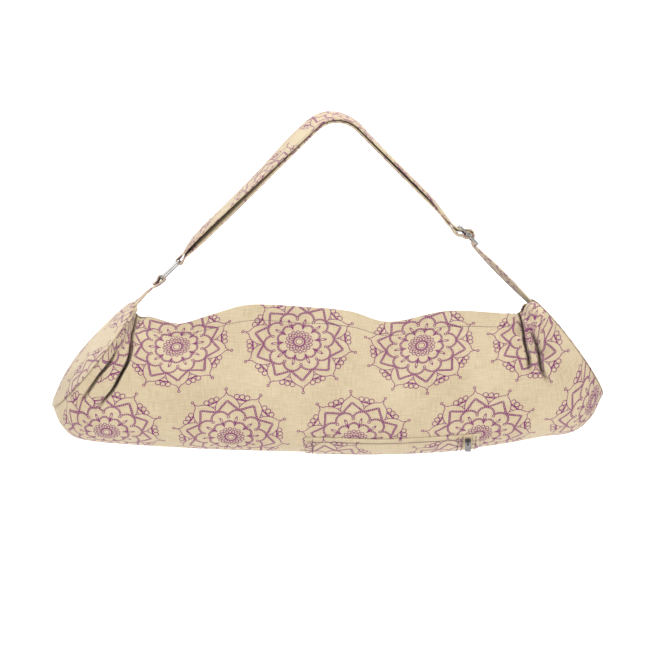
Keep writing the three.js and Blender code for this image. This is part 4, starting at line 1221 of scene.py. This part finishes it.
class Sum:
    """A number in a node tree, to reckon with as in plain sums."""

    def __init__(self, tree, socket):
        self.tree, self.socket = tree, socket

    def node(self, operation, *others):
        node = self.tree.nodes.new("ShaderNodeMath")
        node.operation = operation
        for place, value in zip(node.inputs, (self, *others)):
            if isinstance(value, Sum):
                self.tree.links.new(value.socket, place)
            else:
                place.default_value = float(value)
        return Sum(self.tree, node.outputs[0])

    def __add__(self, other):
        return self.node("ADD", other)

    def __sub__(self, other):
        return self.node("SUBTRACT", other)

    def __mul__(self, other):
        return self.node("MULTIPLY", other)

    def __truediv__(self, other):
        return self.node("DIVIDE", other)

    def least(self, other):
        return self.node("MINIMUM", other)

    def most(self, other):
        return self.node("MAXIMUM", other)

    def size(self):
        return self.node("ABSOLUTE")

    def wrap(self, pitch):
        """The same number counted from the nearest multiple of a pitch."""
        return self.node("WRAP", pitch / 2, -pitch / 2)

    def below(self, limit):
        return self.node("LESS_THAN", limit)


def length_of(x, y):
    return (x * x + y * y).node("SQRT")


def pick(condition, yes, no):
    """One number where the condition is 1, and the other where it is 0."""
    return condition * yes + (condition * -1.0 + 1.0) * no


BAG_PHASE = (-29.5, 49.0)  # an ornament's middle on the bag's cloth, in millimetres
PRINT_SKEW = 0.06
DRAWN_RADIUS = 709.0  # the ornament is drawn in parts of which its radius has so many
PETALS = 10
ORNAMENT_TURN = 0.13  # radians that each ornament is turned from the cloth's run
BEADS = 16
PRINT_FLATTENED = 1.06


def ring_of(x, y, at, radius):
    """Distance from a circle's line, whose middle is on the y axis."""
    return length_of(x, y - at) - radius


def beaded_arc(x, y, at, radius, half, spacing, bead):
    """Distance from a thick arc round a point of the y axis, with a row of light beads left out of it."""
    off = ring_of(x, y, at, radius)
    along_arc = x.node("ARCTAN2", y - at) * radius
    hole = length_of(along_arc.wrap(spacing), off) * -1.0 + bead
    return (off.size() - half).most(hole)


def fold_round(angle, count):
    """The angle from the nearest of so many spokes."""
    return angle.wrap(2 * math.pi / count).size()


def ornament_line(x, y):
    """Distance to the ornament's lines, less than 0 in the ink. It has ten petals round a beaded middle."""
    r = length_of(x, y)
    angle = x.node("ARCTAN2", y)
    angle = angle - ORNAMENT_TURN
    petal = fold_round(angle, PETALS)
    px, py = r * petal.node("SINE"), r * petal.node("COSINE")
    between = petal * -1.0 + math.pi / PETALS
    bx, by = r * between.node("SINE"), r * between.node("COSINE")
    bead = fold_round(angle, BEADS)
    ix, iy = r * bead.node("SINE"), r * bead.node("COSINE")
    # The middle: two rings, sixteen slim petals and their beads
    line = ((r - 38).size() - 4).least((r - 62).size() - 6)
    slim = length_of(ix / 13.0, (iy - 95) / 26.0) * 13.0 - 13.0
    line = line.least(slim.size() - 3.5)
    line = line.least(ring_of(ix, iy, 141, 20).size() - 4.5)
    # The inner flower, with a drop on each of its cusps
    line = line.least(beaded_arc(px, py, 195, 66, 12, 23, 6.2).most(py * -1.0 + 178))
    drop = length_of(bx / 13.0, (by - 282) / 40.0) * 13.0 - 13.0
    line = line.least(drop.size() - 3.5)
    line = line.least((bx.size() - 6).most((by - 211).size() - 21))
    # The outer flower, whose cusps point inwards and end in rings
    line = line.least(beaded_arc(bx, by, 314.4, 103.6, 11.5, 24, 6.2).most(by * -1.0 + 316))
    line = line.least(ring_of(px, py, 321, 15).size() - 4)
    # The square in each petal
    run_x, run_y = -128.0, 136.0
    span = math.hypot(run_x, run_y)
    ahead = (px - 128) * (run_x / span) + (py - 402) * (run_y / span)
    aside = (px - 128) * (run_y / span) - (py - 402) * (run_x / span)
    hole = length_of(ahead.wrap(25.0), aside) * -1.0 + 6.0
    side = (aside.size() - 12.5).most((ahead - span / 2).size() - span / 2)
    line = line.least(side.most(hole))
    # Each petal's outline, round below and drawn out to a point, and the dot on its tip
    leaf = length_of(px + 40.0, py - 440.0) - 180.0
    spike = (length_of(px - 130.0, py - 686.0) * -1.0 + 132.0).most(py * -1.0 + 575).most(py - 682)
    leaf = leaf.least(spike)
    line = line.least((leaf.size() - 4).most(py * -1.0 + 398))
    line = line.least(ring_of(px, py, 690, 15).size() - 4)
    # A fan of loops between the petals
    along_fan = between * 578.0
    loop = length_of(along_fan.wrap(62.0), r - 588) - 29
    fan = ((r - 548).size() - 8).least((r - 500).size() - 4)
    fan = fan.least((loop.size() - 4.5).most(along_fan - 93).most(r * -1.0 + 552))
    return line.least(fan.most(leaf * -1.0 + 3))


def combine(tree, x, y, z=None):
    """A vector from numbers."""
    node = tree.nodes.new("ShaderNodeCombineXYZ")
    for place, value in zip(node.inputs, (x, y, z)):
        if value is not None:
            tree.links.new(value.socket, place)
    return node.outputs[0]


def noise_of(tree, vector, scale, detail=2.0, roughness=0.5):
    """Noise from 0 to 1 over a vector."""
    node = tree.nodes.new("ShaderNodeTexNoise")
    node.inputs["Scale"].default_value = scale
    node.inputs["Detail"].default_value = detail
    node.inputs["Roughness"].default_value = roughness
    tree.links.new(vector, node.inputs["Vector"])
    return Sum(tree, node.outputs["Fac"])


def blend_colours(tree, amount, first, second):
    """A mix of two colours, each a colour or a socket."""
    node = tree.nodes.new("ShaderNodeMix")
    node.data_type = "RGBA"
    tree.links.new(amount.socket, node.inputs["Factor"])
    for name, colour in (("A", first), ("B", second)):
        socket = next(s for s in node.inputs if s.name == name and s.type == "RGBA")
        if isinstance(colour, bpy.types.NodeSocket):
            tree.links.new(colour, socket)
        else:
            socket.default_value = (*colour, 1)
    return next(s for s in node.outputs if s.type == "RGBA")


def soft_step(value, start, end):
    """1 below the start and 0 past the end, with a smooth step between."""
    node = value.tree.nodes.new("ShaderNodeMapRange")
    node.interpolation_type = "SMOOTHSTEP"
    node.inputs["From Min"].default_value = start
    node.inputs["From Max"].default_value = end
    node.inputs["To Min"].default_value = 1.0
    node.inputs["To Max"].default_value = 0.0
    value.tree.links.new(value.socket, node.inputs["Value"])
    return Sum(value.tree, node.outputs["Result"])


def new_material(name):
    """A material with one plain shader, its tree and that shader."""
    material = bpy.data.materials.new(name)
    material.use_nodes = True
    tree = material.node_tree
    shader = next(n for n in tree.nodes if n.type == "BSDF_PRINCIPLED")
    return material, tree, shader


def cloth_place(tree):
    """The two coordinates on the flat cloth, in metres."""
    node = tree.nodes.new("ShaderNodeUVMap")
    node.uv_map = "cloth"
    split = tree.nodes.new("ShaderNodeSeparateXYZ")
    tree.links.new(node.outputs["UV"], split.inputs[0])
    return Sum(tree, split.outputs["X"]), Sum(tree, split.outputs["Y"])


def bump_of(tree, height, distance, strength=1.0):
    node = tree.nodes.new("ShaderNodeBump")
    node.inputs["Distance"].default_value = distance
    node.inputs["Strength"].default_value = strength
    tree.links.new(height.socket, node.inputs["Height"])
    return node.outputs["Normal"]


def weave_of(tree, u, v):
    """How dark the slubs of the weave are, from 0 to 1, and the height of its threads."""
    run = noise_of(tree, combine(tree, u * 55.0, v * 900.0), 1.0, 2.0, 0.6)
    rise = noise_of(tree, combine(tree, u * 900.0, v * 55.0), 1.0, 2.0, 0.6)
    patch = noise_of(tree, combine(tree, u * 14.0, v * 14.0), 1.0, 2.0)
    slubs = run * 0.42 + rise * 0.42 + patch * 0.3
    turn = 2 * math.pi / settings().canvas.thread
    over = (u * turn).node("SINE") * (v * turn).node("SINE")
    return slubs, over * 0.25 + run * 0.8 + rise * 0.8


ink_groups = {}


def ornament_group():
    """The printed ornament as a node group: from a place on the flat cloth to the ink there."""
    if "print" in ink_groups:
        return ink_groups["print"]
    tree = bpy.data.node_groups.new("henna print", "ShaderNodeTree")
    tree.interface.new_socket("Place", in_out="INPUT", socket_type="NodeSocketVector")
    tree.interface.new_socket("Ink", in_out="OUTPUT", socket_type="NodeSocketFloat")
    start = tree.nodes.new("NodeGroupInput")
    end = tree.nodes.new("NodeGroupOutput")
    split = tree.nodes.new("ShaderNodeSeparateXYZ")
    tree.links.new(start.outputs[0], split.inputs[0])
    size = settings().ornament
    drawn = DRAWN_RADIUS / size.radius
    u, v = Sum(tree, split.outputs["X"]) * drawn, Sum(tree, split.outputs["Y"]) * drawn
    place = start.outputs[0]
    sway_u = (noise_of(tree, place, 38.0, 2.0) - 0.5) * 26.0
    sway_v = (noise_of(tree, combine(tree, u * 0.004 + 9.0, v * 0.004), 1.0, 2.0) - 0.5) * 26.0
    pitch, row = size.pitch * drawn, size.row_pitch * drawn
    even_x, even_y = u.wrap(pitch), v.wrap(2 * row)
    odd_x, odd_y = (u - pitch / 2).wrap(pitch), (v - row).wrap(2 * row)
    odd = (odd_x * odd_x + odd_y * odd_y - even_x * even_x - even_y * even_y).below(0.0)
    x = pick(odd, odd_x, even_x) + sway_u
    y = pick(odd, odd_y, even_y) * PRINT_FLATTENED + sway_v
    line = ornament_line(x, y)
    ink = soft_step(line, -2.0, 3.5)
    tree.links.new(ink.socket, end.inputs[0])
    ink_groups["print"] = tree
    return tree


def new_canvas(name):
    """A canvas material. Gives it with its tree, shader, place on the cloth, slubs and bare colour."""
    material, tree, shader = new_material(name)
    u, v = cloth_place(tree)
    slubs, height = weave_of(tree, u, v)
    size = settings().canvas
    dark = soft_step(slubs, 0.42, 0.74)
    bare = blend_colours(tree, dark * -1.0 + 1.0, size.colour, size.slub_colour)
    tree.links.new((slubs * 0.18 + 0.78).socket, shader.inputs["Roughness"])
    tree.links.new(bump_of(tree, height, 0.00035, 0.6), shader.inputs["Normal"])
    shader.inputs["Sheen Weight"].default_value = 0.15
    shader.inputs["Specular IOR Level"].default_value = 0.2
    return material, tree, shader, (u, v), slubs, bare


def printed_canvas(name, phase):
    """Natural canvas with the ornament printed on it. phase is where an ornament's middle is, in millimetres."""
    key = "printed canvas" if phase == (0.0, 0.0) else f"printed canvas {name}"
    if key in bpy.data.materials:
        return bpy.data.materials[key]
    material, tree, shader, (u, v), slubs, bare = new_canvas(key)
    group = tree.nodes.new("ShaderNodeGroup")
    group.node_tree = ornament_group()
    moved = combine(tree, u - phase[0] * MM + v * PRINT_SKEW, v - phase[1] * MM)
    tree.links.new(moved, group.inputs[0])
    ink = Sum(tree, group.outputs[0])
    worn = soft_step(slubs, 0.62, 0.4) * 0.18 + 0.82
    printed = blend_colours(tree, ink * worn, bare, settings().ornament.ink)
    tree.links.new(printed, shader.inputs["Base Color"])
    return material


def bare_canvas():
    """The canvas's unprinted back."""
    material, tree, shader, _, _, bare = new_canvas("bare canvas")
    tree.links.new(bare, shader.inputs["Base Color"])
    return material


def zip_tape():
    """Woven tape, with a rib along each of its threads."""
    material, tree, shader = new_material("zip tape")
    u, v = cloth_place(tree)
    rib = (u * (2 * math.pi / 0.0008)).node("SINE") * 0.5 + 0.5
    grain = noise_of(tree, combine(tree, u * 700.0, v * 160.0), 1.0, 2.0)
    colour = blend_colours(tree, rib * 0.4 + grain * 0.5, (0.58, 0.45, 0.29), (0.42, 0.32, 0.2))
    tree.links.new(colour, shader.inputs["Base Color"])
    tree.links.new((grain * 0.2 + 0.7).socket, shader.inputs["Roughness"])
    tree.links.new(bump_of(tree, rib + grain, 0.0002), shader.inputs["Normal"])
    return material


def object_place(tree):
    node = tree.nodes.new("ShaderNodeTexCoord")
    return node.outputs["Object"]


def thread():
    """Twisted sewing thread. Its colour is the thread's own purple-brown darkened nearly to black, as painted shade
    of the stitched groove that it lies in.
    """
    if "thread" in bpy.data.materials:
        return bpy.data.materials["thread"]
    material, tree, shader = new_material("thread")
    place = object_place(tree)
    twist = noise_of(tree, place, 2600.0, 1.0)
    # Painted shade: this colour carries the stitched groove's shade as well as the thread's own purple-brown.
    colour = settings().canvas.thread_and_groove_shade_colour
    pale = [min(1.0, c * 1.9) for c in colour]
    tree.links.new(blend_colours(tree, twist, colour, pale), shader.inputs["Base Color"])
    tree.links.new((twist * 0.3 + 0.5).socket, shader.inputs["Roughness"])
    tree.links.new(bump_of(tree, twist, 0.0001), shader.inputs["Normal"])
    return material


def polished_steel():
    """Bright bent steel, with fine scratches. Its colour is set darker than the steel's own, as a painted
    reflection of darker surroundings than the white stage holds.
    """
    if "polished steel" in bpy.data.materials:
        return bpy.data.materials["polished steel"]
    material, tree, shader = new_material("polished steel")
    place = object_place(tree)
    haze = noise_of(tree, place, 240.0, 3.0)
    stretched = tree.nodes.new("ShaderNodeMapping")
    stretched.inputs["Scale"].default_value = (260, 2600, 900)
    tree.links.new(place, stretched.inputs["Vector"])
    scratch = noise_of(tree, stretched.outputs[0], 1.0, 2.0)
    # Painted reflection: the steel's colour is darkened to stand for dark surroundings mirrored in it.
    steel = settings().metal.steel
    dull = [c * 0.78 for c in steel]
    tree.links.new(blend_colours(tree, haze, steel, dull), shader.inputs["Base Color"])
    tree.links.new((haze * 0.16 + scratch * 0.12 + 0.1).socket, shader.inputs["Roughness"])
    tree.links.new(bump_of(tree, scratch, 0.00003), shader.inputs["Normal"])
    shader.inputs["Metallic"].default_value = 1.0
    return material


def dark_zip_metal():
    """Dark lacquered metal, rubbed a little brighter in places."""
    material, tree, shader = new_material("dark zip metal")
    place = object_place(tree)
    rub = noise_of(tree, place, 420.0, 3.0)
    dark = settings().metal.dark
    bright = [c * 4 + 0.02 for c in dark]
    tree.links.new(blend_colours(tree, soft_step(rub, 0.7, 0.5), bright, dark), shader.inputs["Base Color"])
    tree.links.new((rub * 0.25 + 0.25).socket, shader.inputs["Roughness"])
    tree.links.new(bump_of(tree, rub, 0.00004), shader.inputs["Normal"])
    shader.inputs["Metallic"].default_value = 0.6
    return material


def zip_teeth_metal():
    """Pale brass-grey teeth."""
    material, tree, shader = new_material("zip teeth")
    place = object_place(tree)
    grain = noise_of(tree, place, 900.0, 2.0)
    tree.links.new(blend_colours(tree, grain, (0.5, 0.46, 0.4), (0.3, 0.27, 0.23)), shader.inputs["Base Color"])
    tree.links.new((grain * 0.3 + 0.25).socket, shader.inputs["Roughness"])
    shader.inputs["Metallic"].default_value = 0.8
    return material


def studio_paper():
    """The plain pale floor and backdrop."""
    material, tree, shader = new_material("studio paper")
    place = object_place(tree)
    grain = noise_of(tree, place, 3.0, 3.0)
    colour = settings().stage.colour
    pale = [c * 0.985 for c in colour]
    tree.links.new(blend_colours(tree, grain, colour, pale), shader.inputs["Base Color"])
    tree.links.new((grain * 0.1 + 0.85).socket, shader.inputs["Roughness"])
    return material




# Operators


class MATBAG_OT_stage(Operator):
    """Sets up the camera, the lights and the plain pale floor with its backdrop"""

    bl_idname = "matbag.stage"
    bl_label = "Set up the stage"

    def execute(self, context):
        stage = settings().stage
        camera = bpy.data.objects.new("camera", bpy.data.cameras.new("camera"))
        context.scene.collection.objects.link(camera)
        camera.data.lens = stage.lens
        camera.data.sensor_width = 36
        camera.data.clip_end = 50
        camera.location = stage.camera_place
        camera.rotation_euler = (math.pi / 2, 0, 0)
        context.scene.camera = camera
        bpy.ops.object.select_all(action="DESELECT")
        bpy.ops.mesh.primitive_plane_add(size=1, location=(0, -0.6, stage.floor))
        floor = context.object
        floor.name = "floor"
        floor.scale = (14, 9, 1)
        bpy.ops.object.transform_apply(location=True, scale=True)
        back = max(v.co.y for v in floor.data.vertices)
        select_where(floor, "EDGE", lambda c: c.y > back - 0.01)
        bpy.ops.mesh.extrude_region_move(TRANSFORM_OT_translate={"value": (0, 0, 7)})
        select_where(floor, "EDGE", lambda c: c.y > back - 0.01 and abs(c.z - stage.floor) < 0.01)
        bpy.ops.mesh.bevel(offset=2.2, segments=24)
        bpy.ops.object.mode_set(mode="OBJECT")
        bpy.ops.object.shade_smooth()
        floor.data.materials.append(studio_paper())
        lights = [
            ("key", (-1.6, -2.6, 1.5), 2.2, 62),
            ("fill", (2.2, -2.4, 0.4), 2.4, 34),
            ("top", (0.2, 0.1, 2.2), 2.0, 34),
            ("backdrop", (0, 1.2, 2.6), 3.5, 90),
        ]
        for name, place, size, power in lights:
            light = bpy.data.lights.new(name, "AREA")
            light.shape = "DISK"
            light.size = size
            light.energy = power
            lamp = bpy.data.objects.new(name, light)
            lamp.location = place
            target = Vector((0, 3.0, 0)) if name == "backdrop" else Vector((0, 0, -0.27))
            lamp.rotation_euler = (target - Vector(place)).to_track_quat("-Z", "Y").to_euler()
            context.scene.collection.objects.link(lamp)
        world = bpy.data.worlds.new("studio")
        world.use_nodes = True
        background = next(n for n in world.node_tree.nodes if n.type == "BACKGROUND")
        background.inputs["Color"].default_value = (1, 1, 1, 1)
        background.inputs["Strength"].default_value = 0.6
        context.scene.world = world
        context.scene.view_settings.view_transform = "Standard"
        return {"FINISHED"}


class MATBAG_OT_cloth(Operator):
    """Makes the tube of printed canvas with its hem"""

    bl_idname = "matbag.cloth"
    bl_label = "Make the bag's cloth"

    def execute(self, context):
        make_bag_cloth()
        return {"FINISHED"}


class MATBAG_OT_ends(Operator):
    """Makes the two round ends"""

    bl_idname = "matbag.ends"
    bl_label = "Make the round ends"

    def execute(self, context):
        make_round_end("left_end", "end_panel_left", 0.0, -1, LEFT_BULGE, (-52.0, -12.0))
        make_round_end("right_end", "end_panel_right", 1.0, 1, RIGHT_BULGE, (-40.0, 12.0))
        return {"FINISHED"}


class MATBAG_OT_straps(Operator):
    """Makes the shoulder strap and the short strap that holds the ring"""

    bl_idname = "matbag.straps"
    bl_label = "Make the straps"

    def execute(self, context):
        line = PullLine(Tube())
        make_band("shoulder_strap", "strap", strap_path(line), (20.0, 30.0))
        make_band("ring_strap", "strap_tab", tab_path(line), (8.0, 60.0))
        return {"FINISHED"}


class MATBAG_OT_hardware(Operator):
    """Makes the steel ring and the steel slider on the strap"""

    bl_idname = "matbag.hardware"
    bl_label = "Make the ring and slider"

    def execute(self, context):
        line = PullLine(Tube())
        at = hardware_places(line)
        metal = settings().metal
        wire, inside = metal.wire, metal.strap_width + 2 * METAL_SIDE * MM
        ring = bent_wire("steel_ring", RING_LENGTH * MM - wire, inside, RING_CORNER * MM, wire)
        put_in_place(ring, line.matrix(at["ring"], 0))
        finish_piece(ring, ["ring"], [polished_steel()])
        bar = SLIDER_BAR * MM
        plate = slotted_plate(
            "strap_slider", SLIDER_LENGTH * MM, inside + bar, bar, bar, SLIDER_PLATE * MM, bar,
        )
        put_in_place(plate, line.matrix(at["slider"], at["slider_turn"] + STRAP_CLEARANCE))
        finish_piece(plate, ["slider_buckle"], [polished_steel()])
        return {"FINISHED"}


class MATBAG_OT_pocket(Operator):
    """Makes the pocket: its patch, its zip's tape and the facing beyond the zip"""

    bl_idname = "matbag.pocket"
    bl_label = "Make the pocket"

    def execute(self, context):
        right = POCKET_LEFT + POCKET_WIDTH
        zip_left, zip_right = right + SEAM_GAP, right + SEAM_GAP + ZIP_WIDTH
        thin = mm(settings().canvas.cloth)
        grooves = [("x", POCKET_LEFT + 9), ("x", right - 6.5), ("x", right - 1.5), ("y", 6.5)]
        patch = make_patch("pocket_cloth", "pocket_panel", POCKET_LEFT, right, 70, thin, POCKET_PUFF,
                           POCKET_PHASE, grooves)
        make_patch("zip_tape", "pocket_zip", zip_left, zip_right, 8, ZIP_THICKNESS, 0.0, (0.0, 0.0),
                   material=zip_tape())
        make_zip_teeth((zip_left + zip_right) / 2)
        for node, material in (("zip_slider", dark_zip_metal()), ("zip_pull", polished_steel())):
            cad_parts[node].data.materials.clear()
            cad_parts[node].data.materials.append(material)
        make_patch("pocket_edge", "pocket_facing", zip_right + SEAM_GAP, zip_right + SEAM_GAP + FACING_WIDTH, 8,
                   thin, 0.0, POCKET_PHASE)
        return {"FINISHED"}


class MATBAG_OT_stitching(Operator):
    """Sews the hem, the straps and the pocket"""

    bl_idname = "matbag.stitching"
    bl_label = "Sew the stitches"

    def execute(self, context):
        tube = Tube()
        shares = np.linspace(0.004, 0.996, 900)
        girth = STITCH_AT / tube.half_girth
        hems = []
        for g in (girth, 2 - girth):
            hems.append(cloth_surface(tube, shares, g))
        make_stitches("hem_stitches", hems)
        line = PullLine(tube)
        straps = band_rows(strap_path(line)) + band_rows(tab_path(line))
        make_stitches("strap_stitches", straps, radius=STRAP_THREAD)
        right = POCKET_LEFT + POCKET_WIDTH
        lift = POCKET_LIFT * 0.4 + mm(settings().canvas.cloth) + 0.5
        rows = []
        down = np.linspace(POCKET_TOP + 1, POCKET_TOP + POCKET_HEIGHT - 1, 60)
        for x in (POCKET_LEFT + 9, right - 6.5, right - 1.5, right + ZIP_WIDTH + 4.5):
            rows.append(surface_line(tube, x, down, lift))
        rows.append(surface_line(tube, np.linspace(POCKET_LEFT + 2, right - 2, 90), POCKET_TOP + 6.5, lift))
        make_stitches("pocket_stitches", rows)
        return {"FINISHED"}


PIECES = [
    MATBAG_OT_stage,
    MATBAG_OT_cloth,
    MATBAG_OT_ends,
    MATBAG_OT_straps,
    MATBAG_OT_hardware,
    MATBAG_OT_pocket,
    MATBAG_OT_stitching,
]


class MATBAG_PT_panel(Panel):
    """Lists the steps that make the bag"""

    bl_idname = "MATBAG_PT_panel"
    bl_label = "Yoga mat bag"
    bl_space_type = "VIEW_3D"
    bl_region_type = "UI"
    bl_category = "Mat Bag"

    def draw(self, context):
        for piece in PIECES:
            self.layout.operator(piece.bl_idname)


GROUPS = [CanvasSettings, PrintSettings, MetalSettings, StageSettings, MatBagSettings]


def register():
    for kind in [*GROUPS, *PIECES, MATBAG_PT_panel]:
        bpy.utils.register_class(kind)
    bpy.types.Scene.mat_bag = PointerProperty(type=MatBagSettings)


def unregister():
    del bpy.types.Scene.mat_bag
    for kind in reversed([*GROUPS, *PIECES, MATBAG_PT_panel]):
        bpy.utils.unregister_class(kind)


def main():
    register()
    for piece in PIECES:
        group, name = piece.bl_idname.split(".")
        getattr(getattr(bpy.ops, group), name)()


if __name__ == "__main__":
    main()
